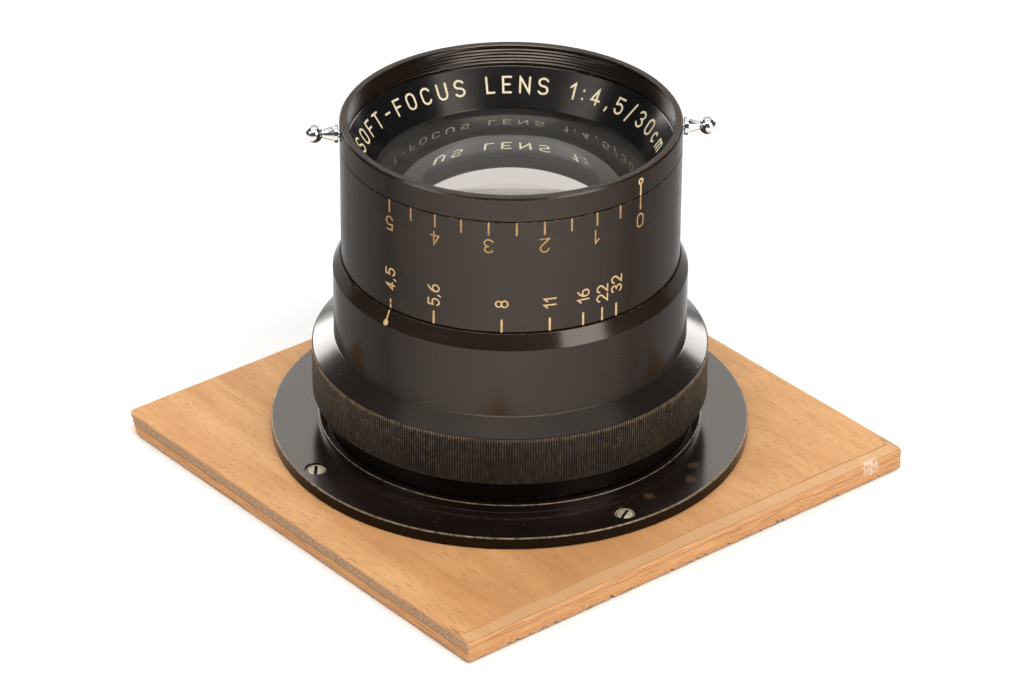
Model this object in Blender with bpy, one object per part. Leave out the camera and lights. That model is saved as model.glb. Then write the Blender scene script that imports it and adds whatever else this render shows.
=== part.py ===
"""Soft-focus portrait lens on a square plywood lens board, with its rings, cells, glass and iris.

Lengths in this file are millimetres and angles are degrees; MM turns lengths into Blender's metres.
The board lies flat with its underside at z = 0, and the lens stands on it with its front upwards.
"""

import math

import bmesh
import bpy
from mathutils import Matrix

MM = 0.001
GAP = 0.3  # air kept between two pieces that touch
SEGMENTS = 36  # sides of the outer turned pieces
INNER_SEGMENTS = 32  # sides of the turned pieces that the barrel hides
GLASS_SEGMENTS = 24
LENS_STEPS = 3  # rings of faces from a lens element's centre to its edge
WELD = 1e-7  # metres

# Lens board
BOARD_X = 150.7
BOARD_Y = 153.8
BOARD_TOP = 6.0
BOARD_HOLE_R = 47.0
AXIS_X = -3.57  # the lens axis, from the board's centre
AXIS_Y = 1.67

# Mounting flange and its four countersunk screws
FLANGE_BOTTOM = BOARD_TOP + GAP
FLANGE_TOP = 9.78
FLANGE_R = 65.9
COLLAR_R = 52.9
COLLAR_TOP = 12.0
THREAD_R = 48.6
SCREW_CIRCLE_R = 60.95
SCREW_ANGLES = (-99.0, -9.1, 80.9, 170.9)
SCREW_HEAD_R = 2.7
SCREW_SHANK_R = 1.3
SCREW_TIP_Z = 1.2

# Barrel: rear spigot, thread, neck, iris housing and front tube
BARREL_BOTTOM = 1.0
SPIGOT_R = 45.5
NECK_R = 50.6
NECK_TOP = 18.9
HOUSING_R = 45.0
HOUSING_BORE_R = 43.7
HOUSING_TOP = 60.9
HOUSING_BORE_TOP = 57.0
TUBE_R = 41.3
TUBE_BORE_R = 39.9
TUBE_TOP = 87.7

# Aperture ring: knurled grip, cone, cylinder and index chamfer
GRIP_BOTTOM = 19.3
GRIP_TOP = 33.1
GRIP_R = 54.4
CONE_TOP = 36.9
APERTURE_RING_R = 48.3
CHAMFER_BOTTOM = 56.8
CHAMFER_R = 46.4
APERTURE_TURN = 81.1  # 4,5 to 32 on the scale

# Scale sleeve and softness ring
SLEEVE_BOTTOM = 61.24
SLEEVE_TOP = 93.98
SLEEVE_R = 46.0
SLEEVE_BORE_R = 43.2
SLEEVE_RECESS_R = 45.3
SOFT_RING_BOTTOM = SLEEVE_TOP + GAP
SOFT_RING_EDGE = 100.5
SOFT_RING_TOP = 101.13
SOFT_RING_FACE_R = 45.56
FILTER_BORE_R = 43.65
SKIRT_R = 45.0
SKIRT_BORE_R = 43.2
SKIRT_BOTTOM = 86.0
RELIEF_R = 44.2
SOFT_TURN = 91.5  # 0 to 5 on the scale
HANDLE_ANGLES = (53.9, 233.9)
HANDLE_Z = 97.4

# Cam tube, and the pins that carry the middle cell
CAM_TUBE_R = 42.9
CAM_TUBE_BORE_R = 41.6
CAM_TUBE_BOTTOM = 63.3
CAM_TUBE_TOP = 89.9
MIDDLE_TRAVEL = 5.0
PIN_ANGLES = (30.0, 150.0, 270.0)
PIN_Z = 66.3
PIN_R = 1.0

# Name ring, cells and glass
NAME_BOTTOM = 84.9
NAME_BOTTOM_R = 36.8
NAME_TIP_Z = 94.9
NAME_TIP_R = 43.9
NAME_WALL = 1.1  # measured along the axis
FRONT_CELL_R = 39.6
CELL_SEAT_R = 38.6
CELL_LIP_R = 36.9
GLASS_R = 38.3
MIDDLE_CELL_BOTTOM = 57.5
MIDDLE_CELL_TOP = 70.6
MIDDLE_SEAT_R = 36.1
MIDDLE_LIP_R = 34.2
MIDDLE_GLASS_R = 35.8
REAR_CELL_R = 43.4
REAR_CELL_BOTTOM = 4.0
REAR_CELL_TOP = 43.7

# Iris: leaves pivot in the seat ring below and are driven by the cam ring above
LEAVES = 12
IRIS_CLEAR_R = 29.2
SEAT_BOTTOM = 44.0
SEAT_TOP = 45.5
LEAF_Z = SEAT_TOP + 0.4  # underside of a leaf at its pivot
LEAF_THICKNESS = 0.05
LEAF_SLOPE = 0.055  # rise from pivot to drive pin, so each leaf lies over the next one
LEAF_SPAN = 124.0
LEAF_PIVOT_R = 40.5
LEAF_INNER_R = 29.6
LEAF_EYE_R = 1.6
LEAF_PIN_R = 0.6
LEAF_TURN = 36.47  # leaf swing from fully open to f/32
CAM_SLOT_HALF = 1.0  # half the width of a cam slot
CAM_BOTTOM = 50.2
CAM_DISC_TOP = 51.6
CAM_RIM_TOP = 56.3
CAM_R = 43.3
CAM_RIM_BORE_R = 41.7
DRIVE_ANGLES = (100.0, 280.0)
DRIVE_Z = 53.8
DRIVE_PIN_R = 1.5
DRIVE_PIN_END_R = 46.6

COLOURS = {  # base colour, roughness, metallic
    "plywood": ((0.62, 0.40, 0.22), 0.65, 0.0),
    "black_lacquer": ((0.030, 0.026, 0.023), 0.35, 0.3),
    "black_gloss": ((0.012, 0.013, 0.018), 0.15, 0.2),
    "black_matte": ((0.015, 0.015, 0.015), 0.70, 0.1),
    "bronze_black": ((0.055, 0.045, 0.032), 0.40, 0.6),
    "nickel": ((0.62, 0.57, 0.48), 0.30, 1.0),
    "chrome": ((0.78, 0.78, 0.78), 0.08, 1.0),
    "brass": ((0.60, 0.44, 0.20), 0.30, 1.0),
    "blue_steel": ((0.10, 0.11, 0.13), 0.35, 0.8),
    "glass": ((0.60, 0.66, 0.66), 0.02, 0.0),
}


def material(slot):
    """Return the Principled material for a slot, made once."""
    if slot in bpy.data.materials:
        return bpy.data.materials[slot]
    colour, roughness, metallic = COLOURS[slot]
    made = bpy.data.materials.new(slot)
    made.use_nodes = True
    shader = made.node_tree.nodes["Principled BSDF"]
    shader.inputs["Base Color"].default_value = (*colour, 1.0)
    shader.inputs["Roughness"].default_value = roughness
    shader.inputs["Metallic"].default_value = metallic
    return made


def finish(bm, name, slot, parent=None):
    """Turn a millimetre bmesh into a smooth-shaded object in metres."""
    bmesh.ops.scale(bm, vec=(MM, MM, MM), verts=bm.verts)
    bmesh.ops.remove_doubles(bm, verts=bm.verts, dist=WELD)
    bmesh.ops.recalc_face_normals(bm, faces=bm.faces)
    mesh = bpy.data.meshes.new(name)
    bm.to_mesh(mesh)
    bm.free()
    mesh.materials.append(material(slot))
    mesh.shade_smooth()
    mesh.set_sharp_from_angle(angle=math.radians(30))
    made = bpy.data.objects.new(name, mesh)
    bpy.context.collection.objects.link(made)
    made.parent = parent
    return made


def turned(name, outline, slot, parent, segments=SEGMENTS):
    """Turn a closed (radius, height) outline about the object's Z axis."""
    bm = bmesh.new()
    corners = [bm.verts.new((r, 0, z)) for r, z in outline]
    sides = []
    for start, end in zip(corners, corners[1:] + corners[:1]):
        if start.co.x > 0 or end.co.x > 0:
            sides.append(bm.edges.new((start, end)))
    bmesh.ops.spin(
        bm,
        geom=corners + sides,
        cent=(0, 0, 0),
        axis=(0, 0, 1),
        angle=math.tau,
        steps=segments,
        use_merge=True,
    )
    bmesh.ops.remove_doubles(bm, verts=bm.verts, dist=WELD / MM)
    return finish(bm, name, slot, parent)


def cut(target, bm):
    """Cut the closed bodies in a millimetre bmesh out of an object, in that object's frame."""
    tool = finish(bm, target.name + "_cutter", "black_matte", target.parent)
    tool.hide_render = True
    tool.display_type = "WIRE"
    boolean = target.modifiers.new("cut", "BOOLEAN")
    boolean.object = tool
    boolean.operation = "DIFFERENCE"
    boolean.solver = "EXACT"


def polar(radius, angle, z=0.0):
    return (radius * math.cos(math.radians(angle)), radius * math.sin(math.radians(angle)), z)


def add_rod(bm, radius, depth, matrix, sides=8):
    """Add a rod centred on the matrix's origin, along its Z axis."""
    bmesh.ops.create_cone(
        bm,
        cap_ends=True,
        segments=sides,
        radius1=radius,
        radius2=radius,
        depth=depth,
        matrix=matrix,
    )


def radial(angle, radius, z):
    """Matrix whose Z axis points out from the lens axis at an angle."""
    place = Matrix.Translation(polar(radius, angle, z))
    return place @ Matrix.Rotation(math.radians(angle), 4, "Z") @ Matrix.Rotation(math.pi / 2, 4, "Y")


def add_loft(bm, sections):
    """Add a closed body through equal-length loops of points, with flat ends."""
    loops = [[bm.verts.new(point) for point in section] for section in sections]
    for near, far in zip(loops, loops[1:]):
        for k in range(len(near)):
            after = (k + 1) % len(near)
            bm.faces.new((near[k], near[after], far[after], far[k]))
    bm.faces.new(loops[0])
    bm.faces.new(loops[-1])


def add_slot(bm, radii, start, end, half_height, steps):
    """Add a slot body between two radii that runs from one (angle, height) to another."""
    sections = []
    for step in range(steps + 1):
        part = step / steps
        angle = start[0] + (end[0] - start[0]) * part
        z = start[1] + (end[1] - start[1]) * part
        corners = (
            (radii[0], z - half_height),
            (radii[1], z - half_height),
            (radii[1], z + half_height),
            (radii[0], z + half_height),
        )
        sections.append([polar(r, angle, height) for r, height in corners])
    add_loft(bm, sections)


def arc_angle(length, radius):
    """Angle that a length takes up on a circle."""
    return math.degrees(length / radius)


# ---------------------------------------------------------------- board, flange and screws


def make_board():
    bm = bmesh.new()
    bmesh.ops.create_cube(bm, size=1.0)
    bmesh.ops.scale(bm, vec=(BOARD_X, BOARD_Y, BOARD_TOP), verts=bm.verts)
    bmesh.ops.translate(bm, vec=(0, 0, BOARD_TOP / 2), verts=bm.verts)
    board = finish(bm, "lens_board", "plywood")
    holes = bmesh.new()
    add_rod(holes, BOARD_HOLE_R, 3 * BOARD_TOP, Matrix.Translation((AXIS_X, AXIS_Y, 0)), SEGMENTS)
    pilot_bottom = SCREW_TIP_Z - GAP
    pilot_depth = 2 * (BOARD_TOP - pilot_bottom)
    for angle in SCREW_ANGLES:
        x, y, _ = polar(SCREW_CIRCLE_R, angle)
        centre = (AXIS_X + x, AXIS_Y + y, pilot_bottom + pilot_depth / 2)
        add_rod(holes, SCREW_SHANK_R + GAP, pilot_depth, Matrix.Translation(centre))
    cut(board, holes)


def make_flange(lens):
    outline = [
        (THREAD_R + GAP, FLANGE_BOTTOM),
        (FLANGE_R, FLANGE_BOTTOM),
        (FLANGE_R, FLANGE_TOP - 0.4),
        (FLANGE_R - 0.4, FLANGE_TOP),
        (COLLAR_R, FLANGE_TOP),
        (COLLAR_R, COLLAR_TOP),
        (THREAD_R + GAP, COLLAR_TOP),
    ]
    flange = turned("mounting_flange", outline, "black_lacquer", lens)
    holes = bmesh.new()
    height = FLANGE_TOP - FLANGE_BOTTOM + 2
    for angle in SCREW_ANGLES:
        middle = Matrix.Translation(polar(SCREW_CIRCLE_R, angle, FLANGE_BOTTOM - 1 + height / 2))
        bmesh.ops.create_cone(
            holes,
            cap_ends=True,
            segments=12,
            radius1=SCREW_SHANK_R + GAP,
            radius2=SCREW_HEAD_R + GAP + 1.0,
            depth=height,
            matrix=middle,
        )
    cut(flange, holes)


def make_flange_screws(lens):
    top = FLANGE_TOP - 0.3
    outline = [
        (0, top),
        (SCREW_HEAD_R, top),
        (SCREW_HEAD_R, top - 0.2),
        (SCREW_SHANK_R - 0.1, FLANGE_BOTTOM + 0.7),
        (SCREW_SHANK_R - 0.1, SCREW_TIP_Z + 1.2),
        (0, SCREW_TIP_Z),
    ]
    for number, angle in enumerate(SCREW_ANGLES, 1):
        screw = turned(f"flange_screw_{number}", outline, "nickel", lens, 12)
        screw.location = [MM * value for value in polar(SCREW_CIRCLE_R, angle)]
        slot = bmesh.new()
        bmesh.ops.create_cube(slot, size=1.0)
        bmesh.ops.scale(slot, vec=(3 * SCREW_HEAD_R, 0.8, 1.4), verts=slot.verts)
        bmesh.ops.rotate(slot, matrix=Matrix.Rotation(math.radians(angle), 3, "Z"), verts=slot.verts)
        bmesh.ops.translate(slot, vec=polar(SCREW_CIRCLE_R, angle, top), verts=slot.verts)
        cut(screw, slot)


# ---------------------------------------------------------------- barrel and sleeve


def make_barrel(lens):
    outline = [
        (HOUSING_BORE_R, BARREL_BOTTOM),
        (SPIGOT_R, BARREL_BOTTOM),
        (SPIGOT_R, FLANGE_BOTTOM),
        (THREAD_R, FLANGE_BOTTOM),
        (THREAD_R, COLLAR_TOP + GAP),
        (NECK_R, COLLAR_TOP + GAP),
        (NECK_R, NECK_TOP),
        (HOUSING_R, NECK_TOP),
        (HOUSING_R, HOUSING_TOP),
        (TUBE_R, HOUSING_TOP),
        (TUBE_R, TUBE_TOP),
        (TUBE_BORE_R, TUBE_TOP),
        (TUBE_BORE_R, HOUSING_BORE_TOP),
        (HOUSING_BORE_R, HOUSING_BORE_TOP),
    ]
    barrel = turned("main_barrel", outline, "black_lacquer", lens)
    slots = bmesh.new()
    slack = arc_angle(PIN_R + GAP, TUBE_R)
    for angle in PIN_ANGLES:
        middle = PIN_Z + MIDDLE_TRAVEL / 2
        half = MIDDLE_TRAVEL / 2 + PIN_R + GAP
        ends = ((angle - slack, middle), (angle + slack, middle))
        add_slot(slots, (TUBE_BORE_R - 1, TUBE_R + 1), *ends, half, 1)
    slack = arc_angle(DRIVE_PIN_R + GAP, HOUSING_BORE_R)
    for angle in DRIVE_ANGLES:
        ends = ((angle - slack, DRIVE_Z), (angle + APERTURE_TURN + slack, DRIVE_Z))
        add_slot(slots, (HOUSING_BORE_R - 1, HOUSING_R + 1), *ends, DRIVE_PIN_R + GAP, 8)
    cut(barrel, slots)


def make_scale_sleeve(lens):
    foot_top = SLEEVE_BOTTOM + 1.7
    outline = [
        (TUBE_R + GAP, SLEEVE_BOTTOM),
        (SLEEVE_R, SLEEVE_BOTTOM),
        (SLEEVE_R, SLEEVE_TOP),
        (SLEEVE_RECESS_R, SLEEVE_TOP),
        (SLEEVE_RECESS_R, SKIRT_BOTTOM - GAP),
        (SLEEVE_BORE_R, SKIRT_BOTTOM - GAP),
        (SLEEVE_BORE_R, foot_top),
        (TUBE_R + GAP, foot_top),
    ]
    turned("scale_sleeve", outline, "black_lacquer", lens)


# ---------------------------------------------------------------- aperture ring and iris


def make_aperture_ring(lens):
    bore = HOUSING_R + GAP
    outline = [
        (bore, GRIP_BOTTOM),
        (GRIP_R - 0.4, GRIP_BOTTOM),
        (GRIP_R, GRIP_BOTTOM + 0.4),
        (GRIP_R, GRIP_TOP),
        (APERTURE_RING_R, CONE_TOP),
        (APERTURE_RING_R, CHAMFER_BOTTOM),
        (CHAMFER_R, HOUSING_TOP),
        (bore, HOUSING_TOP),
    ]
    ring = turned("aperture_ring", outline, "bronze_black", lens)
    grooves = bmesh.new()  # open at the bottom, so the ring slides down over its drive pins
    bottom = GRIP_BOTTOM - 1
    top = DRIVE_Z + DRIVE_PIN_R + GAP
    slack = arc_angle(DRIVE_PIN_R + GAP, HOUSING_R)
    for angle in DRIVE_ANGLES:
        middle = (bottom + top) / 2
        ends = ((angle - slack, middle), (angle + slack, middle))
        add_slot(grooves, (HOUSING_R - 1, DRIVE_PIN_END_R + GAP), *ends, (top - bottom) / 2, 1)
    cut(ring, grooves)


def make_drive_pins(lens):
    inner = CAM_RIM_BORE_R + GAP
    outer = DRIVE_PIN_END_R
    for number, angle in enumerate(DRIVE_ANGLES, 1):
        bm = bmesh.new()
        add_rod(bm, DRIVE_PIN_R, outer - inner, radial(angle, (inner + outer) / 2, DRIVE_Z))
        finish(bm, f"aperture_drive_pin_{number}", "brass", lens)


def leaf_pin_path(steps):
    """Drive pin of the leaf whose pivot is at angle 0, in the cam ring's frame.

    The path ends where the pin is nearest the lens axis, because the pin runs back along it after that.
    """
    pivot = complex(LEAF_PIVOT_R, 0)
    start = LEAF_PIVOT_R * complex(*polar(1, LEAF_SPAN)[:2])
    nearest_swing = 90 - LEAF_SPAN / 2
    path = []
    for step in range(steps + 1):
        swing = nearest_swing * step / steps
        pin = pivot + (start - pivot) * complex(*polar(1, swing)[:2])
        path.append(pin * complex(*polar(1, -swing * APERTURE_TURN / LEAF_TURN)[:2]))
    return path


def cam_slot_outline():
    """Outline of one cam slot: the pin's path with a clearance on both sides and round ends."""
    path = leaf_pin_path(6)
    half = CAM_SLOT_HALF
    last = len(path) - 1
    headings = []
    for k in range(len(path)):
        step = path[min(k + 1, last)] - path[max(k - 1, 0)]
        headings.append(step / abs(step))
    left = [point + 1j * half * heading for point, heading in zip(path, headings)]
    right = [point - 1j * half * heading for point, heading in zip(path, headings)]
    end = [path[-1] + half * headings[-1] * complex(*polar(1, turn)[:2]) for turn in (45, 0, -45)]
    start = [path[0] - half * headings[0] * complex(*polar(1, turn)[:2]) for turn in (45, 0, -45)]
    return left + end + right[::-1] + start


def make_iris_cam_ring(lens):
    outline = [
        (IRIS_CLEAR_R, CAM_BOTTOM),
        (CAM_R, CAM_BOTTOM),
        (CAM_R, CAM_RIM_TOP),
        (CAM_RIM_BORE_R, CAM_RIM_TOP),
        (CAM_RIM_BORE_R, CAM_DISC_TOP),
        (IRIS_CLEAR_R, CAM_DISC_TOP),
    ]
    ring = turned("iris_cam_ring", outline, "brass", lens)
    slots = bmesh.new()
    slot = cam_slot_outline()
    for leaf in range(LEAVES):
        turn = complex(*polar(1, 360 * leaf / LEAVES)[:2])
        flat = [point * turn for point in slot]
        sections = [[(p.real, p.imag, z) for p in flat] for z in (CAM_BOTTOM - 1, CAM_DISC_TOP + 0.2)]
        add_loft(slots, sections)
    for angle in DRIVE_ANGLES:
        add_rod(slots, DRIVE_PIN_R + GAP, 5, radial(angle, CAM_R, DRIVE_Z))
    cut(ring, slots)


def make_iris_seat_ring(lens):
    outline = [
        (IRIS_CLEAR_R, SEAT_BOTTOM),
        (CAM_R, SEAT_BOTTOM),
        (CAM_R, SEAT_TOP),
        (IRIS_CLEAR_R, SEAT_TOP),
    ]
    seat = turned("iris_seat_ring", outline, "brass", lens)
    holes = bmesh.new()
    for leaf in range(LEAVES):
        middle = polar(LEAF_PIVOT_R, 360 * leaf / LEAVES, (SEAT_BOTTOM + SEAT_TOP) / 2)
        add_rod(holes, LEAF_PIN_R + GAP, 4, Matrix.Translation(middle))
    cut(seat, holes)


def leaf_outline():
    """Crescent of one leaf in its own frame: pivot at the origin, lens axis at -LEAF_PIVOT_R on X.

    Only the middle of the inner edge bounds the opening, so the leaf narrows towards both eyes.
    """
    outer_r = LEAF_PIVOT_R + LEAF_EYE_R
    inner = [complex(*polar(LEAF_INNER_R, angle)[:2]) for angle in range(50, 100, 9)]
    outer = [complex(*polar(outer_r, angle)[:2]) for angle in range(110, 5, -15)]
    drive = LEAF_PIVOT_R * complex(*polar(1, LEAF_SPAN)[:2])
    far_eye = [drive + complex(*polar(LEAF_EYE_R, LEAF_SPAN + turn)[:2]) for turn in (150, 100, 50, 0)]
    near_eye = [LEAF_PIVOT_R + complex(*polar(LEAF_EYE_R, -turn)[:2]) for turn in (0, 50, 100, 150)]
    return [point - LEAF_PIVOT_R for point in inner + far_eye + outer + near_eye]


def make_iris_leaves(lens):
    chord = complex(*polar(1, 90 + LEAF_SPAN / 2)[:2])
    drive_x, drive_y, _ = polar(LEAF_PIVOT_R, LEAF_SPAN)
    chord_length = 2 * LEAF_PIVOT_R * math.sin(math.radians(LEAF_SPAN / 2))
    middle = LEAF_Z + LEAF_THICKNESS / 2
    drive_z = middle + LEAF_SLOPE * chord_length
    pivot_end = SEAT_BOTTOM + 0.2
    drive_end = CAM_DISC_TOP - 0.1
    for leaf in range(LEAVES):
        name = f"iris_leaf_{leaf + 1:02d}"
        plate = bmesh.new()
        sections = []
        for lift in (0, LEAF_THICKNESS):
            section = []
            for point in leaf_outline():
                rise = LEAF_SLOPE * (point * chord.conjugate()).real
                section.append((point.real, point.imag, LEAF_Z + lift + rise))
            sections.append(section)
        add_loft(plate, sections)
        made = finish(plate, name, "blue_steel", lens)
        pins = bmesh.new()
        pivot_pin = Matrix.Translation((0, 0, (middle + pivot_end) / 2))
        add_rod(pins, LEAF_PIN_R, middle - pivot_end, pivot_pin)
        drive_pin = Matrix.Translation((drive_x - LEAF_PIVOT_R, drive_y, (drive_z + drive_end) / 2))
        add_rod(pins, LEAF_PIN_R, drive_end - drive_z, drive_pin)
        tool = finish(pins, name + "_pins", "blue_steel", made)
        tool.hide_render = True
        tool.display_type = "WIRE"
        union = made.modifiers.new("pins", "BOOLEAN")
        union.object = tool
        union.operation = "UNION"
        union.solver = "EXACT"
        angle = 360 * leaf / LEAVES
        made.location = [MM * value for value in polar(LEAF_PIVOT_R, angle)]
        made.rotation_euler = (0, 0, math.radians(angle))


# ---------------------------------------------------------------- softness control


def make_softness_ring(lens):
    outline = [
        (SLEEVE_R, SOFT_RING_BOTTOM),
        (SLEEVE_R, SOFT_RING_EDGE),
        (SOFT_RING_FACE_R, SOFT_RING_TOP),
        (FILTER_BORE_R, SOFT_RING_TOP),
        (FILTER_BORE_R, 96.3),
        (RELIEF_R, 95.9),
        (RELIEF_R, 93.5),
        (SKIRT_BORE_R, 92.3),
        (SKIRT_BORE_R, SKIRT_BOTTOM),
        (SKIRT_R, SKIRT_BOTTOM),
        (SKIRT_R, SOFT_RING_BOTTOM),
    ]
    ring = turned("softness_ring", outline, "black_lacquer", lens)
    holes = bmesh.new()
    for angle in HANDLE_ANGLES:
        add_rod(holes, 1.0 + GAP, 8, radial(angle, SLEEVE_R, HANDLE_Z))
    cut(ring, holes)


def make_ball_handles(lens):
    """Studs with a conical stem and a ball, screwed into the softness ring."""
    ball_r = 2.45
    ball_centre = 52.8 - SLEEVE_R
    neck_r = 1.2
    neck = ball_centre - math.sqrt(ball_r**2 - neck_r**2)
    outline = [(0, -1.6), (1.0, -1.6), (1.0, GAP), (2.5, GAP), (2.5, 1.5), (2.15, 1.6), (neck_r, neck)]
    for angle in range(-35, 90, 25):
        outline.append((ball_r * polar(1, angle)[0], ball_centre + ball_r * polar(1, angle)[1]))
    outline.append((0, ball_centre + ball_r))
    for side, angle in zip(("right", "left"), HANDLE_ANGLES):
        handle = turned(f"ball_handle_{side}", outline, "chrome", lens, 12)
        handle.location = [MM * value for value in polar(SLEEVE_R, angle, HANDLE_Z)]
        handle.rotation_euler = (0, math.pi / 2, math.radians(angle))


def make_cam_tube(lens):
    outline = [
        (CAM_TUBE_BORE_R, CAM_TUBE_BOTTOM),
        (CAM_TUBE_R, CAM_TUBE_BOTTOM),
        (CAM_TUBE_R, CAM_TUBE_TOP),
        (CAM_TUBE_BORE_R, CAM_TUBE_TOP),
    ]
    tube = turned("softness_cam_tube", outline, "brass", lens)
    slots = bmesh.new()
    slack = arc_angle(PIN_R + GAP, CAM_TUBE_BORE_R)
    climb = MIDDLE_TRAVEL / SOFT_TURN
    for angle in PIN_ANGLES:
        start = (angle - slack, PIN_Z - climb * slack)
        end = (angle + SOFT_TURN + slack, PIN_Z + MIDDLE_TRAVEL + climb * slack)
        add_slot(slots, (CAM_TUBE_BORE_R - 1, CAM_TUBE_R + 1), start, end, PIN_R + GAP + 0.1, 12)
    cut(tube, slots)


# ---------------------------------------------------------------- cells and glass


def lens_surface(vertex_z, curve_r, edge_r):
    """Points from the axis out to the edge; a positive curve radius bulges upwards."""
    points = []
    for step in range(LENS_STEPS + 1):
        r = edge_r * step / LENS_STEPS
        sag = abs(curve_r) - math.sqrt(curve_r**2 - r**2)
        points.append((r, vertex_z - math.copysign(sag, curve_r)))
    return points


def element(name, top, bottom, edge_r, lens):
    outline = lens_surface(*top, edge_r) + lens_surface(*bottom, edge_r)[::-1]
    turned(name, outline, "glass", lens, GLASS_SEGMENTS)


def make_front_group(lens):
    cell = [
        (CELL_LIP_R, 76.0),
        (FRONT_CELL_R, 76.0),
        (FRONT_CELL_R, 86.0),
        (CELL_SEAT_R, 86.0),
        (CELL_SEAT_R, 77.3),
        (CELL_LIP_R, 77.3),
    ]
    turned("front_cell", cell, "black_matte", lens, INNER_SEGMENTS)
    stem_top = 86.2
    name_ring = [
        (NAME_BOTTOM_R, NAME_BOTTOM),
        (GLASS_R, NAME_BOTTOM),
        (GLASS_R, stem_top),
        (NAME_TIP_R, NAME_TIP_Z - NAME_WALL),
        (NAME_TIP_R, NAME_TIP_Z),
    ]
    turned("name_ring", name_ring, "black_gloss", lens)
    element("front_crown_element", (90.65, 114.0), (78.0, -150.0), GLASS_R, lens)
    element("front_flint_element", (77.7, -150.0), (75.2, -307.0), GLASS_R, lens)


def make_middle_group(lens):
    cell_r = TUBE_BORE_R - GAP
    outline = [
        (MIDDLE_LIP_R, MIDDLE_CELL_BOTTOM),
        (cell_r, MIDDLE_CELL_BOTTOM),
        (cell_r, MIDDLE_CELL_TOP),
        (MIDDLE_SEAT_R, MIDDLE_CELL_TOP),
        (MIDDLE_SEAT_R, 58.9),
        (MIDDLE_LIP_R, 58.9),
    ]
    cell = turned("middle_cell", outline, "brass", lens)
    holes = bmesh.new()
    for angle in PIN_ANGLES:
        add_rod(holes, PIN_R + GAP, 6, radial(angle, cell_r, PIN_Z))
    cut(cell, holes)
    retainer = [(MIDDLE_LIP_R, 68.5), (MIDDLE_GLASS_R, 68.5), (MIDDLE_GLASS_R, 70.3), (MIDDLE_LIP_R, 70.3)]
    turned("middle_retaining_ring", retainer, "black_matte", lens, INNER_SEGMENTS)
    element("middle_element", (64.9, -196.0), (62.5, 196.0), MIDDLE_GLASS_R, lens)
    inner = MIDDLE_SEAT_R + 0.9
    outer = CAM_TUBE_R
    for number, angle in enumerate(PIN_ANGLES, 1):
        bm = bmesh.new()
        add_rod(bm, PIN_R, outer - inner, radial(angle, (inner + outer) / 2, PIN_Z))
        finish(bm, f"guide_pin_{number}", "nickel", lens)


def make_rear_group(lens):
    cell = [
        (CELL_SEAT_R, REAR_CELL_BOTTOM),
        (REAR_CELL_R, REAR_CELL_BOTTOM),
        (REAR_CELL_R, REAR_CELL_TOP),
        (42.2, REAR_CELL_TOP),
        (42.2, 23.8),
        (CELL_LIP_R, 23.8),
        (CELL_LIP_R, 22.3),
        (CELL_SEAT_R, 22.3),
    ]
    turned("rear_cell", cell, "black_matte", lens, INNER_SEGMENTS)
    retainer = [(CELL_LIP_R, 11.0), (GLASS_R, 11.0), (GLASS_R, 14.8), (CELL_LIP_R, 14.3)]
    turned("rear_retaining_ring", retainer, "black_matte", lens, INNER_SEGMENTS)
    element("rear_flint_element", (24.4, 307.0), (21.9, 150.0), GLASS_R, lens)
    element("rear_crown_element", (21.6, 150.0), (9.0, -120.0), GLASS_R, lens)


def main():
    for old in list(bpy.data.objects):
        bpy.data.objects.remove(old, do_unlink=True)
    lens = bpy.data.objects.new("lens_axis", None)
    lens.location = (AXIS_X * MM, AXIS_Y * MM, 0)
    bpy.context.collection.objects.link(lens)
    make_board()
    make_flange(lens)
    make_flange_screws(lens)
    make_barrel(lens)
    make_scale_sleeve(lens)
    make_aperture_ring(lens)
    make_drive_pins(lens)
    make_iris_seat_ring(lens)
    make_iris_leaves(lens)
    make_iris_cam_ring(lens)
    make_softness_ring(lens)
    make_ball_handles(lens)
    make_cam_tube(lens)
    make_front_group(lens)
    make_middle_group(lens)
    make_rear_group(lens)


main()
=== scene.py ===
"""Looks of the soft-focus portrait lens on its plywood board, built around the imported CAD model.

Lengths in this file are millimetres and angles are degrees; MM turns lengths into Blender's metres.
Turned pieces are modelled about their own Z axis and stand on the lens axis.
"""

import math

import bmesh
import bpy
from mathutils import Matrix, Vector, noise


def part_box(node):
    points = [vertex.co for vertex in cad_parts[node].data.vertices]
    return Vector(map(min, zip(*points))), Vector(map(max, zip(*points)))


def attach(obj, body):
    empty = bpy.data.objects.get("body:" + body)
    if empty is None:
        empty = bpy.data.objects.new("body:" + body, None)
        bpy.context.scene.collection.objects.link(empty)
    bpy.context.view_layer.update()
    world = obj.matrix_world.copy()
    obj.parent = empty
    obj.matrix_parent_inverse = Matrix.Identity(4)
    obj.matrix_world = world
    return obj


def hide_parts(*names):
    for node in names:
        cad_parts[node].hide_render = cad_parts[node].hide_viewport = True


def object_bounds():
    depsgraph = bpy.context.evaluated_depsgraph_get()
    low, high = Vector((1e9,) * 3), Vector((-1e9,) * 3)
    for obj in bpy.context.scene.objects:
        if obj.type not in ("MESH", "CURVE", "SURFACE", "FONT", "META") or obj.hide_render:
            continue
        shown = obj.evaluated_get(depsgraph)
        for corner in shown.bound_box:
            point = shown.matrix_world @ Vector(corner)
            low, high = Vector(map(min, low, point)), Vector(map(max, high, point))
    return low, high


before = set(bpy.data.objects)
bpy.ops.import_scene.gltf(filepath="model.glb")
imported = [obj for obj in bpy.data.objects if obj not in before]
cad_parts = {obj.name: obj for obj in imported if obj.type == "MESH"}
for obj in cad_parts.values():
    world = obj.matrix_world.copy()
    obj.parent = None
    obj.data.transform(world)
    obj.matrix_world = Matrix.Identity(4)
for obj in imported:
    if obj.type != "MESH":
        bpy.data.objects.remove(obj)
cad_low, cad_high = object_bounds()

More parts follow.
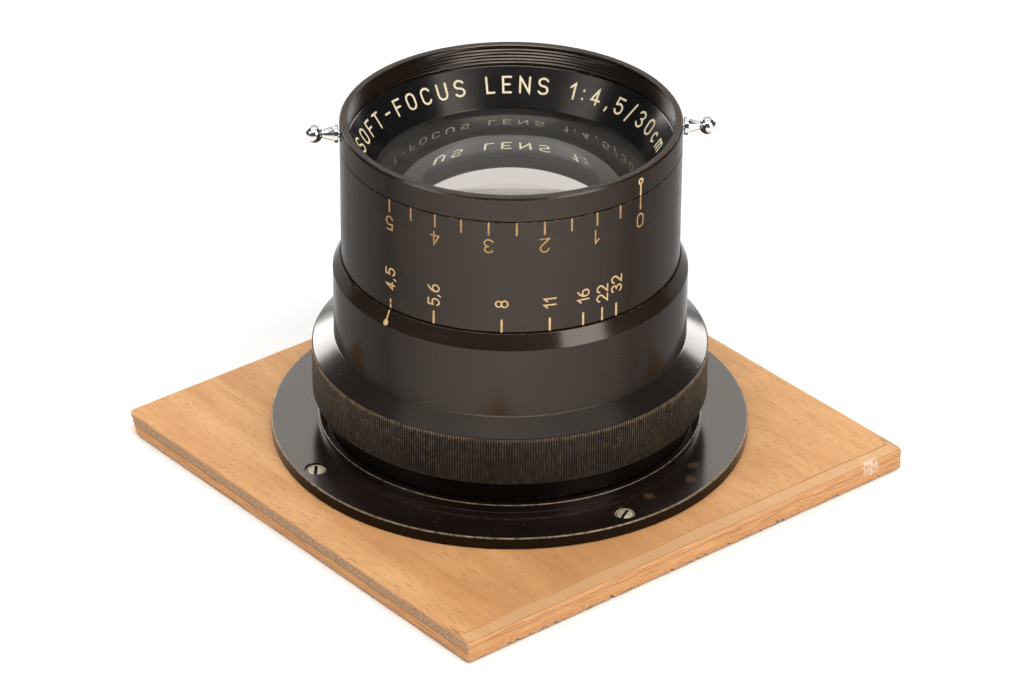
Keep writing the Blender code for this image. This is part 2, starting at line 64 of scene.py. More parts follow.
MM = 0.001
SEGMENTS = 240  # sides of the outer turned pieces
INNER_SEGMENTS = 144
EDGE = 0.12  # usual radius of a turned edge
SUPPORT = 0.3  # how far the wear of an edge reaches along a face
INK_LIFT = 0.02  # how far an engraved stroke's paint stands proud
INK_DEPTH = 0.10
GAP = 0.3  # air between two pieces that touch in the real lens


def polar(radius, angle, z=0.0):
    return Vector((radius * math.cos(math.radians(angle)), radius * math.sin(math.radians(angle)), z))


def span(node):
    """Outer radius, bottom and top of a turned CAD node, in millimetres."""
    low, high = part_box(node)
    return (high.x - low.x) / 2 / MM, low.z / MM, high.z / MM


axis_low, axis_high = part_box("mounting_flange")
AXIS = Vector(((axis_low.x + axis_high.x) / 2, (axis_low.y + axis_high.y) / 2, 0))

FLANGE_R, FLANGE_BOTTOM, COLLAR_TOP = span("mounting_flange")
NECK_R, BARREL_BOTTOM, TUBE_TOP = span("main_barrel")
GRIP_R, GRIP_BOTTOM, RING_TOP = span("aperture_ring")
SLEEVE_R, SLEEVE_BOTTOM, SLEEVE_TOP = span("scale_sleeve")
SOFT_R, SOFT_SKIRT_BOTTOM, SOFT_TOP = span("softness_ring")
NAME_TIP = span("name_ring")[2]

# Flange and screws
FLANGE_TOP = 9.78
COLLAR_R = 52.9
COLLAR_BORE_R = 48.9
SCREW_CIRCLE_R = 60.95
SCREW_ANGLES = (-99.0, -9.1, 80.9, 170.9)
SCREW_SLOT_TURNS = (140.0, 118.0, 15.0, 100.0)
SCREW_HEAD_R = 2.7
SCREW_SHANK_R = 1.3
SCREW_TOP = 9.48
FLANGE_SPOTS = ((57.4, 21.2), (60.4, 14.7), (58.2, 0.7))  # radius and angle of worn patches

# Barrel, and the pins that reach through its slots
TUBE_R = 41.3
PIN_ANGLES = (30.0, 150.0, 270.0)
DRIVE_ANGLES = (100.0, 280.0)

# Aperture ring
GRIP_TOP = 33.1
CONE_TOP = 36.9
APERTURE_R = 48.3
CHAMFER_BOTTOM = 56.8
CHAMFER_R = 46.4
RING_BORE_R = 45.3
TOOTH_COUNT = 490
TOOTH_DEPTH = 0.34

# Softness ring
SOFT_RING_BOTTOM = 94.28
SKIRT_R = 45.0
SKIRT_BORE_R = 43.2
FILTER_BORE_R = 43.65
THREAD_PITCH = 0.95
THREAD_DEPTH = 0.5

# Name ring
NAME_BOTTOM_R = 36.8
NAME_BOTTOM = 84.9
NAME_TIP_R = 43.9

# Scales: angles on the lens, from the direction of the camera
VIEW_ANGLE = -39.6
SOFTNESS_ZERO = 47.75
SOFTNESS_STEP = 9.15
SOFTNESS_STEPS = 10
APERTURE_MARKS = (  # figure, angle, gap above its tick
    ("4,5", -43.6, 2.4),
    ("5,6", -26.0, 2.0),
    ("8", -2.8, 3.9),
    ("11", 13.1, 3.3),
    ("16", 24.7, 3.2),
    ("22", 31.8, 2.1),
    ("32", 37.5, 3.6),
)


# ---------------------------------------------------------------- materials


class Shader:
    """A node material with short calls for the nodes it is made of."""

    def __init__(self, name):
        self.material = bpy.data.materials.new(name)
        self.material.use_nodes = True
        self.tree = self.material.node_tree
        self.surface = self.tree.nodes["Principled BSDF"]

    def node(self, kind, properties=(), **inputs):
        made = self.tree.nodes.new(kind)
        for name, value in dict(properties).items():
            setattr(made, name, value)
        for name, value in inputs.items():
            self.feed(made.inputs[name.replace("_", " ")], value)
        return made

    def feed(self, socket, value):
        if isinstance(value, bpy.types.NodeSocket):
            self.tree.links.new(value, socket)
        elif isinstance(value, (tuple, list)) and socket.type == "RGBA" and len(value) == 3:
            socket.default_value = (*value, 1.0)
        else:
            socket.default_value = value

    def set(self, **inputs):
        for name, value in inputs.items():
            self.feed(self.surface.inputs[name.replace("_", " ")], value)

    def where(self):
        return self.node("ShaderNodeTexCoord").outputs["Object"]

    def place(self, scale=(1, 1, 1)):
        """Object coordinates in millimetres, stretched by scale."""
        mapping = self.node("ShaderNodeMapping", Vector=self.where())
        mapping.inputs["Scale"].default_value = [value / MM for value in scale]
        return mapping.outputs["Vector"]

    def split(self, vector):
        parts = self.node("ShaderNodeSeparateXYZ", Vector=vector)
        return [parts.outputs[name] for name in "XYZ"]

    def normal(self):
        """The X, Y and Z of the surface's normal."""
        return self.split(self.node("ShaderNodeNewGeometry").outputs["Normal"])

    def near(self, middle, far, close):
        """0 at a distance of far millimetres from a point given in metres, and 1 at close."""
        made = self.node("ShaderNodeVectorMath", {"operation": "DISTANCE"})
        self.feed(made.inputs[0], self.where())
        made.inputs[1].default_value = middle
        return self.ramp(made.outputs["Value"], far * MM, close * MM)

    def around(self, along=1.0, radial=1.0, turn=0.0):
        """Coordinates that barely change around the Z axis, for turning marks and rings."""
        x, y, z = self.split(self.where())
        radius = self.math("SQRT", self.plus(self.times(x, x), self.times(y, y)))
        sway = self.math("SINE", self.math("ARCTAN2", y, x))
        made = self.node("ShaderNodeCombineXYZ")
        self.feed(made.inputs["X"], self.times(radius, radial / MM))
        self.feed(made.inputs["Y"], self.times(sway, turn))
        self.feed(made.inputs["Z"], self.times(z, along / MM))
        return made.outputs["Vector"]

    def noise(self, scale, vector=None, detail=3.0, roughness=0.55, distortion=0.0):
        made = self.node("ShaderNodeTexNoise", Scale=scale, Detail=detail, Roughness=roughness)
        made.inputs["Distortion"].default_value = distortion
        self.feed(made.inputs["Vector"], vector or self.place())
        return made.outputs["Fac"]

    def math(self, operation, first, second=0.0):
        made = self.node("ShaderNodeMath", {"operation": operation})
        self.feed(made.inputs[0], first)
        self.feed(made.inputs[1], second)
        return made.outputs[0]

    def times(self, first, second):
        return self.math("MULTIPLY", first, second)

    def plus(self, first, second):
        return self.math("ADD", first, second)

    def ramp(self, value, low, high, bottom=0.0, top=1.0):
        """Carry value from the range low to high over to bottom to top, clamped."""
        made = self.node("ShaderNodeMapRange", Value=value)
        made.inputs["From Min"].default_value = low
        made.inputs["From Max"].default_value = high
        made.inputs["To Min"].default_value = bottom
        made.inputs["To Max"].default_value = top
        return made.outputs["Result"]

    def mix(self, share, first, second):
        made = self.node("ShaderNodeMix", {"data_type": "RGBA"})
        self.feed(made.inputs["Factor"], share)
        self.feed(made.inputs[6], first)
        self.feed(made.inputs[7], second)
        return made.outputs[2]

    def blend(self, share, first, second):
        made = self.node("ShaderNodeMix", {"data_type": "FLOAT"})
        self.feed(made.inputs["Factor"], share)
        self.feed(made.inputs[2], first)
        self.feed(made.inputs[3], second)
        return made.outputs[0]

    def attribute(self, name):
        return self.node("ShaderNodeAttribute", {"attribute_name": name}).outputs["Fac"]

    def bump(self, height, strength, distance):
        """Bump from a height; distance is in millimetres."""
        made = self.node("ShaderNodeBump", Height=height, Strength=strength)
        made.inputs["Distance"].default_value = distance * MM
        self.set(Normal=made.outputs["Normal"])


BROWNED = (0.26, 0.17, 0.10)  # metal that shows through where lacquer is worn


def lacquer(
    name, colour, roughness, gloss_spread, marks, wear=0.50, sheen=None, coat=0.0, bare=BROWNED, spots=()
):
    """Black lacquer on turned metal: faint turning marks, fine dust, and brown worn edges.

    Its gloss fades where it is seen at a slant, unless a sheen is given: then it is even. A coat is a
    glossier layer on the faces that look up. Spots are worn patches, by radius and angle.
    """
    made = Shader(name)
    rings = made.noise(3.2, made.around(along=1.0, radial=1.0, turn=0.4), detail=4.0)
    cloud = made.noise(0.05, detail=4.0)
    grit = made.noise(2.4, detail=2.0)
    dust = made.ramp(made.noise(1.3, detail=1.0), 0.775, 0.80)
    nick = made.noise(0.6, detail=5.0, roughness=0.7)
    worn = made.ramp(made.times(made.attribute("wear"), nick), wear, wear + 0.2, 0.0, 0.75)
    shade = made.mix(made.ramp(cloud, 0.3, 0.7), colour, tuple(1.5 * value for value in colour))
    shade = made.mix(made.times(dust, 0.10), shade, (0.55, 0.50, 0.44))
    for radius, angle in spots:
        near = made.near(polar(radius, angle, FLANGE_TOP) * MM, 3.6, 0.5)
        patch = made.ramp(made.times(near, nick), 0.28, 0.36, 0.0, 0.8)
        shade = made.mix(patch, shade, (0.075, 0.040, 0.022))
    made.set(Base_Color=made.mix(worn, shade, bare))
    gloss = made.ramp(cloud, 0.25, 0.75, roughness - gloss_spread, roughness + gloss_spread)
    gloss = made.plus(gloss, made.times(dust, 0.2))
    made.set(Roughness=made.blend(worn, gloss, 0.42))
    made.set(Metallic=made.times(worn, 0.8))
    facing = made.node("ShaderNodeLayerWeight", Blend=0.5).outputs["Facing"]
    near = made.ramp(facing, 0.13, 0.38, 0.62, 0.09)
    far = made.ramp(facing, 0.42, 0.75, 0.0, 0.07)
    made.set(Specular_IOR_Level=sheen or made.math("SUBTRACT", near, far), Specular_Tint=(1.0, 0.88, 0.78))
    if coat:
        flat = made.ramp(made.normal()[2], 0.93, 0.99)
        made.set(Coat_Weight=made.times(flat, coat), Coat_IOR=1.8, Coat_Roughness=0.16)
        if sheen:
            made.set(Specular_IOR_Level=made.blend(flat, 0.12, sheen))
    height = made.plus(made.times(rings, marks), made.times(grit, 0.12))
    made.bump(height, 0.5, 0.012)
    return made.material


def knurled(name):
    """Dark bronzed grip: brown metal that shines through on the tooth tips, with a painted highlight on the
    top rows.
    """
    made = Shader(name)
    tips = made.attribute("wear")
    cloud = made.noise(0.06, detail=5.0)
    nick = made.noise(0.8, detail=3.0, roughness=0.6)
    base = made.mix(made.ramp(cloud, 0.35, 0.65), (0.012, 0.009, 0.007), (0.034, 0.024, 0.014))
    # Bright tip colour: wear, and on the grip's top rows a painted highlight.
    bright = made.ramp(made.times(tips, nick), 0.22, 0.50)
    made.set(Base_Color=made.mix(bright, base, (0.34, 0.25, 0.17)))
    made.set(Metallic=made.blend(bright, 0.35, 1.0))
    made.set(Roughness=made.ramp(nick, 0.2, 0.8, 0.34, 0.5))
    made.bump(made.noise(4.0, detail=2.0), 0.4, 0.02)
    return made.material


def bare_metal(
    name,
    colour,
    roughness,
    marks=0.5,
    stain=(0.20, 0.14, 0.08),
    stained=0.35,
    metallic=1.0,
    mottle=0.12,
    shade_below=None,
):
    """Plain metal with turning marks, small dents and tarnish, and painted shade below a height if one is
    given.
    """
    made = Shader(name)
    rings = made.noise(3.0, made.around(turn=0.3), detail=4.0)
    cloud = made.noise(mottle, detail=6.0, roughness=0.65)
    shade = made.mix(made.ramp(cloud, 0.5, 0.75, 0.0, stained), colour, stain)
    # Painted shade: below the height the colour goes near black, which darkens the screw slots, the ring
    # groove and the head's sunk sides.
    if shade_below:
        height = made.times(made.split(made.where())[2], 1 / MM)
        painted_shade = made.ramp(height, shade_below, shade_below + 0.1, 1.0, 0.0)
        shade = made.mix(painted_shade, shade, (0.02, 0.014, 0.01))
    made.set(Base_Color=shade, Metallic=metallic)
    made.set(Roughness=made.ramp(cloud, 0.3, 0.7, roughness * 0.7, roughness * 1.5))
    height = made.plus(made.times(rings, marks), made.noise(0.8, detail=5.0))
    made.bump(height, 0.35, 0.02)
    return made.material


def matte_black(name, colour=(0.020, 0.017, 0.015), roughness=0.6):
    """Flat black paint inside the barrel, a little dusty."""
    made = Shader(name)
    grain = made.noise(2.0, detail=4.0)
    rings = made.noise(1.5, made.around(turn=0.2), detail=2.0)
    cloud = made.noise(0.08, detail=4.0)
    shade = made.mix(made.ramp(cloud, 0.35, 0.7), colour, tuple(2.2 * value for value in colour))
    made.set(Base_Color=shade, Roughness=made.ramp(cloud, 0.3, 0.7, roughness - 0.1, roughness + 0.12))
    made.bump(made.plus(grain, rings), 0.5, 0.03)
    return made.material


def paint(name, colour, deep):
    """Fill of the engraved figures, yellowed and a little patchy."""
    made = Shader(name)
    patch = made.noise(0.7, detail=4.0, roughness=0.7)
    made.set(Base_Color=made.mix(made.ramp(patch, 0.38, 0.68), colour, deep))
    made.set(Roughness=0.55)
    made.bump(made.noise(3.0, detail=3.0), 0.4, 0.02)
    return made.material


def clear_glass(name, ior, tint):
    """Polished glass with a few specks, that lets lamp light through to the barrel."""
    made = Shader(name)
    smear = made.noise(0.05, detail=5.0, roughness=0.6)
    made.set(Base_Color=tint, IOR=ior, Transmission_Weight=1.0)
    made.set(Roughness=made.ramp(smear, 0.55, 0.8, 0.0, 0.03))
    path = made.node("ShaderNodeLightPath")
    clear = made.node("ShaderNodeBsdfTransparent", Color=(0.92, 0.93, 0.92))
    either = made.node("ShaderNodeMixShader")
    made.feed(either.inputs[0], path.outputs["Is Shadow Ray"])
    made.feed(either.inputs[1], made.surface.outputs["BSDF"])
    made.feed(either.inputs[2], clear.outputs["BSDF"])
    output = made.tree.nodes["Material Output"]
    made.feed(output.inputs["Surface"], either.outputs["Shader"])
    return made.material


def face_veneer(made):
    """Colour, roughness and relief of the face: figured veneer along X, and the planed strip."""

    def along_x(*scale, **options):
        return made.noise(1.0, made.place(scale), **options)

    pale, tan, brown = (0.760, 0.410, 0.170), (0.620, 0.295, 0.105), (0.250, 0.100, 0.036)
    figure = along_x(0.012, 0.10, 0.2, detail=3.0, distortion=0.6)
    streak = along_x(0.035, 1.1, 0.5, detail=5.0, roughness=0.6)
    fine = along_x(0.16, 4.0, 2.0, detail=3.0)
    pores = made.ramp(along_x(0.30, 3.4, 1.5, detail=1.0), 0.63, 0.70)
    broad = made.noise(0.020, detail=3.0)
    face = made.mix(made.ramp(figure, 0.35, 0.68), pale, tan)
    face = made.mix(made.ramp(streak, 0.50, 0.78, 0.0, 0.55), face, tan)
    face = made.mix(made.ramp(fine, 0.55, 0.80, 0.0, 0.35), face, brown)
    face = made.mix(made.times(pores, 0.60), face, brown)
    face = made.mix(made.ramp(broad, 0.45, 0.70, 0.0, 0.55), face, (0.48, 0.215, 0.075))
    planed = made.attribute("planed")
    face = made.mix(made.ramp(planed, 0.80, 0.98, 0.0, 0.50), face, (0.68, 0.41, 0.21))
    step = made.times(made.ramp(planed, 0.05, 0.3), made.ramp(planed, 0.97, 0.8))
    face = made.mix(made.times(step, 0.5), face, (0.16, 0.065, 0.028))
    relief = made.math("SUBTRACT", made.times(fine, 0.35), made.times(pores, 0.9))
    return face, made.ramp(streak, 0.3, 0.7, 0.42, 0.58), relief


def edge_plies(made, z, side_x, side_y):
    """Colour and relief of the edges, where long grain shows streaks and end grain shows pores."""
    orange, rust = (0.780, 0.400, 0.165), (0.430, 0.165, 0.055)
    grey, dark = (0.640, 0.390, 0.215), (0.200, 0.105, 0.052)
    long_x = made.noise(1.0, made.place((0.10, 1.0, 2.6)), detail=5.0, roughness=0.7)
    long_y = made.noise(1.0, made.place((1.0, 0.10, 2.6)), detail=5.0, roughness=0.7)
    ends = made.noise(1.0, made.place((1.6, 1.6, 1.6)), detail=5.0, roughness=0.8)
    grain = made.blend(side_y, long_y, long_x)
    long_grain = made.mix(made.ramp(grain, 0.42, 0.70), orange, rust)
    end_grain = made.mix(made.ramp(ends, 0.40, 0.68), grey, dark)
    orange_ends = made.mix(made.ramp(ends, 0.45, 0.70), (0.720, 0.360, 0.145), (0.340, 0.130, 0.048))

    def glue_line(side, height, middle, reach, core):
        away = made.math("ABSOLUTE", made.math("SUBTRACT", height, middle))
        return made.mix(made.times(made.ramp(away, reach, core), 0.7), side, dark)

    in_core = made.times(made.ramp(z, 3.0, 3.25), made.ramp(z, 5.75, 5.6))
    y_side = glue_line(made.mix(in_core, long_grain, end_grain), z, 3.05, 0.20, 0.05)
    wander = made.ramp(made.noise(0.06, detail=3.0), 0.3, 0.7, -0.6, 0.6)
    height = made.plus(z, wander)
    x_side = made.mix(made.ramp(height, 1.9, 1.5), long_grain, orange_ends)
    x_side = glue_line(x_side, height, 4.0, 0.18, 0.04)
    return made.mix(side_x, y_side, x_side), made.plus(grain, ends)


def plywood(name):
    """Three-ply board with a figured face, edges that show each ply, and old white paint near a corner."""
    made = Shader(name)
    z = made.times(made.split(made.where())[2], 1 / MM)
    side_x, side_y = (made.ramp(made.math("ABSOLUTE", value), 0.5, 0.8) for value in made.normal()[:2])
    on_edge = made.math("MAXIMUM", side_x, side_y)
    face, gloss, relief = face_veneer(made)
    edge, edge_relief = edge_plies(made, z, side_x, side_y)
    near = made.near((cad_high.x, cad_high.y - 12 * MM, 4.9 * MM), 6, 2)
    flake = made.ramp(made.times(near, made.noise(0.9, detail=4.0)), 0.40, 0.50)
    colour = made.mix(made.times(flake, 0.8), made.mix(on_edge, face, edge), (0.80, 0.62, 0.48))
    made.set(Base_Color=colour, Roughness=made.blend(on_edge, gloss, 0.8))
    made.bump(made.blend(on_edge, relief, edge_relief), 0.6, 0.10)
    return made.material


LACQUER = lacquer("barrel_lacquer", (0.0130, 0.0074, 0.0042), 0.24, 0.04, 0.9, coat=0.5)
CONE_BLACK = lacquer("cone_lacquer", (0.0100, 0.0066, 0.0048), 0.17, 0.03, 0.5, sheen=0.50)
# Darker, duller copy of the barrel lacquer: painted shade on the neck, thread and spigot below the aperture
# ring.
NECK_SHADE_BLACK = lacquer("neck_painted_shade_lacquer", (0.0040, 0.0028, 0.0020), 0.30, 0.04, 0.5, sheen=0.06)
GLOSSY = lacquer("glossy_lacquer", (0.0130, 0.0078, 0.0050), 0.16, 0.04, 0.5)
FLANGE_BLACK = lacquer(
    "flange_lacquer",
    (0.0080, 0.0045, 0.0030),
    0.20,
    0.06,
    0.6,
    wear=0.32,
    sheen=1.0,
    coat=1.0,
    # Paler bare metal than elsewhere: worn edges, lightened into a painted glint along the collar's top edge.
    bare=(0.36, 0.28, 0.20),
    spots=FLANGE_SPOTS,
)
NAME_BLACK = lacquer("name_ring_lacquer", (0.0040, 0.0038, 0.0045), 0.22, 0.04, 0.3, sheen=0.40)
GRIP = knurled("bronzed_grip")
BRASS = bare_metal("old_brass", (0.62, 0.44, 0.20), 0.30)
NICKEL = bare_metal(
    "worn_nickel",
    (0.62, 0.54, 0.40),
    0.48,
    0.3,
    stain=(0.10, 0.065, 0.03),
    stained=0.95,
    metallic=0.50,
    mottle=0.7,
    # painted shade in the slots and round the sunk heads
    shade_below=SCREW_TOP - 0.42,
)
CHROME = bare_metal("chrome_plate", (0.80, 0.80, 0.80), 0.06, 0.1, (0.45, 0.43, 0.40), 0.2)
STEEL = bare_metal("blued_steel", (0.085, 0.090, 0.105), 0.34, 0.2, (0.05, 0.04, 0.035), 0.6)
MATTE = matte_black("inner_matte_black")
BAFFLE = matte_black("baffle_brown_black", (0.050, 0.042, 0.036), 0.5)
CREAM = paint("engraving_paint", (0.76, 0.54, 0.28), (0.60, 0.32, 0.12))
# Fill of the softness scale: its own ochre paint, made darker and browner still as painted shade in the
# engraved grooves.
SHADED_OCHRE = paint("scale_paint_with_shade", (0.55, 0.32, 0.12), (0.34, 0.16, 0.05))
WHITE = paint("lettering_paint", (0.90, 0.80, 0.56), (0.80, 0.62, 0.36))
GLASS = clear_glass("optical_glass", 1.55, (0.84, 0.83, 0.80))
PLYWOOD = plywood("plywood")


# ---------------------------------------------------------------- making meshes


def add_object(name, data, place):
    made = bpy.data.objects.new(name, data)
    bpy.context.scene.collection.objects.link(made)
    made.location = place
    return made


def add_mesh(name, bm, place):
    """An object at place from a millimetre bmesh, with its faces turned outwards."""
    bmesh.ops.scale(bm, vec=(MM, MM, MM), verts=bm.verts)
    bmesh.ops.recalc_face_normals(bm, faces=bm.faces)
    mesh = bpy.data.meshes.new(name)
    bm.to_mesh(mesh)
    bm.free()
    return add_object(name, mesh, place)


def finish(name, bm, material, body, slot, sharp=30.0, place=AXIS):
    """Turn a millimetre bmesh into a piece that stands at place and rides on a CAD body."""
    made = add_mesh(name, bm, place)
    made.data.materials.append(material)
    if sharp:
        made.data.shade_smooth()
        made.data.set_sharp_from_angle(angle=math.radians(sharp))
    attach(made, body)
    return made


def cut(target, bm):
    """Cut the closed bodies of a millimetre bmesh, made about the lens axis, out of a piece."""
    tool = add_mesh("cutter", bm, AXIS)
    mesh = tool.data
    boolean = target.modifiers.new("cut", "BOOLEAN")
    boolean.object = tool
    boolean.solver = "EXACT"
    bpy.context.view_layer.update()
    depsgraph = bpy.context.evaluated_depsgraph_get()
    result = bpy.data.meshes.new_from_object(target.evaluated_get(depsgraph))
    old = target.data
    target.modifiers.clear()
    target.data = result
    result.name = target.name
    bpy.data.meshes.remove(old)
    bpy.data.objects.remove(tool)
    bpy.data.meshes.remove(mesh)


def rounded(outline, wear_inside=0.15):
    """Points (radius, height, wear) of a closed (radius, height[, fillet]) outline with its corners rounded.

    Outlines run anticlockwise seen with the radius to the right, so a left turn is an outer edge.
    """
    points = []
    count = len(outline)
    for k, corner in enumerate(outline):
        here = Vector(corner[:2])
        fillet = corner[2] if len(corner) > 2 else EDGE
        before = Vector(outline[k - 1][:2]) - here
        after = Vector(outline[(k + 1) % count][:2]) - here
        if fillet == 0 or min(before.length, after.length) < 1e-6:
            points.append((*here, 0.0))
            continue
        into = before.normalized()
        out = after.normalized()
        half = into.angle(out) / 2
        reach = min(fillet / math.tan(half), 0.45 * before.length, 0.45 * after.length)
        radius = reach * math.tan(half)
        centre = here + (into + out).normalized() * (radius / math.sin(half))
        outside = into.x * out.y - into.y * out.x < 0
        wear = 1.0 if outside else wear_inside
        if before.length > 2 * (reach + SUPPORT):
            points.append((*(here + into * (reach + SUPPORT)), 0.0))
        start = here + into * reach - centre
        end = here + out * reach - centre
        for step in range(4):
            arm = start.slerp(end, step / 3) * radius
            points.append((*(centre + arm), wear))
        if after.length > 2 * (reach + SUPPORT):
            points.append((*(here + out * (reach + SUPPORT)), 0.0))
    return points


def round_pairs(items):
    """Each item with the one after it, and the last one with the first."""
    return zip(items, items[1:] + items[:1])


def weave(rings, closed=True):
    """Skin round the Z axis over (angle, profile) pairs; a profile is (radius, height, wear) points."""
    bm = bmesh.new()
    layer = bm.verts.layers.float.new("wear")
    columns = []
    poles = {}
    for angle, profile in rings:
        column = []
        for k, (radius, z, wear) in enumerate(profile):
            if k not in poles:
                vert = bm.verts.new(polar(radius, angle, z))
                vert[layer] = wear
                if radius < 1e-6:
                    poles[k] = vert
            column.append(poles.get(k, vert))
        columns.append(column)
    size = len(columns[0])
    for near, far in round_pairs(columns):
        for k in range(size if closed else size - 1):
            after = (k + 1) % size
            bm.faces.new(list(dict.fromkeys((near[k], far[k], far[after], near[after]))))
    return bm


def spin(profile, segments, closed=True):
    """Turn one profile about Z; an open profile starts and ends on the axis."""
    return weave([(360 * j / segments, profile) for j in range(segments)], closed)


def turned(name, outline, material, body, slot, segments=SEGMENTS, replaces=None, **options):
    """A turned piece from a closed outline that doesn't reach the axis."""
    piece = finish(name, spin(rounded(outline), segments), material, body, slot, **options)
    if replaces:
        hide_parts(replaces)
    return piece


def add_rod(bm, radius, depth, matrix, sides=24, radius_top=None):
    bmesh.ops.create_cone(
        bm,
        cap_ends=True,
        segments=sides,
        radius1=radius,
        radius2=radius if radius_top is None else radius_top,
        depth=depth,
        matrix=matrix,
    )


def radial(angle, radius, z):
    """Matrix whose Z axis points out from the lens axis at an angle."""
    place = Matrix.Translation(polar(radius, angle, z))
    return place @ Matrix.Rotation(math.radians(angle), 4, "Z") @ Matrix.Rotation(math.pi / 2, 4, "Y")


def add_slot(bm, radii, start, end, half_height, steps):
    """A slot body between two radii that runs from one (angle, height) to another."""
    loops = []
    for step in range(steps + 1):
        part = step / steps
        angle = start[0] + (end[0] - start[0]) * part
        z = start[1] + (end[1] - start[1]) * part
        ring = []
        for r, rise in ((radii[0], -1), (radii[1], -1), (radii[1], 1), (radii[0], 1)):
            ring.append(bm.verts.new(polar(r, angle, z + rise * half_height)))
        loops.append(ring)
    for near, far in zip(loops, loops[1:]):
        for (a, b), (c, d) in round_pairs(list(zip(near, far))):
            bm.faces.new((a, c, d, b))
    bm.faces.new(loops[0])
    bm.faces.new(loops[-1])


# ---------------------------------------------------------------- board

BOARD_TOP = 6.25  # just under the flange, with less air than the CAD board leaves
BOARD_HOLE_R = 47.0
SIDE_POINTS = 260
CORNER_POINTS = 7
STRIP = 4.6  # width of the planed strip along the +X edge
STRIP_DROP = 0.25
STRIP_WANDER = -0.6  # how far the strip's inner line strays
HOLE_SEGMENTS = 96


def board_loop(inset, x_inset, radii, z):
    """One loop of the board's outline; radii are its corners', from (+X, -Y) round to (-X, -Y)."""
    x_low, x_high = cad_low.x / MM + inset, cad_high.x / MM - x_inset
    y_low, y_high = cad_low.y / MM + inset, cad_high.y / MM - inset
    corners = ((x_high, y_low, -90), (x_high, y_high, 0), (x_low, y_high, 90), (x_low, y_low, 180))
    arcs = []
    for (x, y, turn), radius in zip(corners, radii):
        centre_x = x - math.copysign(radius, x)
        centre_y = y - math.copysign(radius, y)
        arc = []
        for k in range(CORNER_POINTS):
            arm = polar(radius, turn + 90 * k / (CORNER_POINTS - 1))
            arc.append(Vector((centre_x + arm.x, centre_y + arm.y, z)))
        arcs.append(arc)
    points = []
    for k, arc in enumerate(arcs):
        points += arc
        after = arcs[(k + 1) % 4][0]
        for step in range(1, SIDE_POINTS + 1):
            points.append(arc[-1].lerp(after, step / (SIDE_POINTS + 1)))
    return points


def roughen(point, rise):
    """Push an edge point in by a small amount: splintered on the +X side, smooth on the others."""
    half_x = cad_high.x / MM
    splintered = point.x > half_x - 1.5
    on_x = abs(point.x) > half_x - 1.5
    fibre = noise.noise(Vector((point.x * 0.2, point.y * (1.6 if on_x else 0.25), point.z * 1.5)))
    coarse = noise.noise(Vector((point.x * 0.08, point.y * 0.08, point.z * 0.6)))
    depth = (0.22 if splintered else 0.08) * (0.5 + 0.5 * fibre) + 0.10 * (0.5 + 0.5 * coarse)
    inward = Vector((-math.copysign(1, point.x) if on_x else 0, 0 if on_x else -math.copysign(1, point.y), 0))
    moved = point + inward * depth
    if rise:
        chip = max(0.0, noise.noise(Vector((point.x * 0.9, point.y * 0.9, 7.0))) - 0.05)
        moved.z += rise * chip * (2.2 if splintered else 0.8)
    return moved


def edge_loops(bm):
    """Loops of vertices up the board's edge and in over its face to the planed strip's inner line."""
    half_x = cad_high.x / MM
    rows = (  # height, inset, share of the bottom's chipping
        (0.0, 0.30, 1.0),
        (0.12, 0.10, 1.0),
        (0.45, 0.0, 0.6),
        (1.0, 0.0, 0.2),
        (1.7, 0.0, 0.0),
        (2.4, 0.0, 0.0),
        (3.0, 0.03, 0.0),
        (3.3, 0.0, 0.0),
        (4.0, 0.06, 0.0),
        (4.7, 0.0, 0.0),
        (5.3, 0.0, 0.0),
        (5.8, 0.02, 0.0),
        (6.02, 0.10, 0.0),
        (6.16, 0.25, 0.0),
        (6.22, 0.55, 0.0),
    )
    loops = []
    for z, inset, rise in rows:
        wear = 1 - z / BOARD_TOP
        radii = (0.7 + inset, 1.2 + inset, 2.0 + inset, 1.6 + 4.0 * wear + inset)
        loop = []
        for point in board_loop(inset, inset, radii, z):
            moved = roughen(point, rise)
            if z > 5.5 and point.x > half_x - 2:
                moved.z -= STRIP_DROP
            loop.append(bm.verts.new(moved))
        loops.append(loop)
    for x_inset, drop in ((STRIP, STRIP_DROP), (STRIP + 0.35, 0.0)):
        loop = []
        for point in board_loop(1.6 + x_inset - STRIP, x_inset, (1.2, 1.2, 2.0, 2.4), BOARD_TOP):
            if point.x > half_x - x_inset - 0.1:
                point.x += STRIP_WANDER * noise.noise(Vector((0, point.y * 0.05, 3.0)))
                point.z -= drop
            loop.append(bm.verts.new(point))
        loops.append(loop)
    return loops


def fill_face(bm, outer, hole):
    """Flat face between a loop of the board's edge and its round hole."""
    edges = []
    for loop in (outer, hole):
        for pair in round_pairs(loop):
            edges.append(bm.edges.get(pair) or bm.edges.new(pair))
    filled = bmesh.ops.triangle_fill(bm, use_beauty=True, edges=edges)
    return [face for face in filled["geom"] if isinstance(face, bmesh.types.BMFace)]


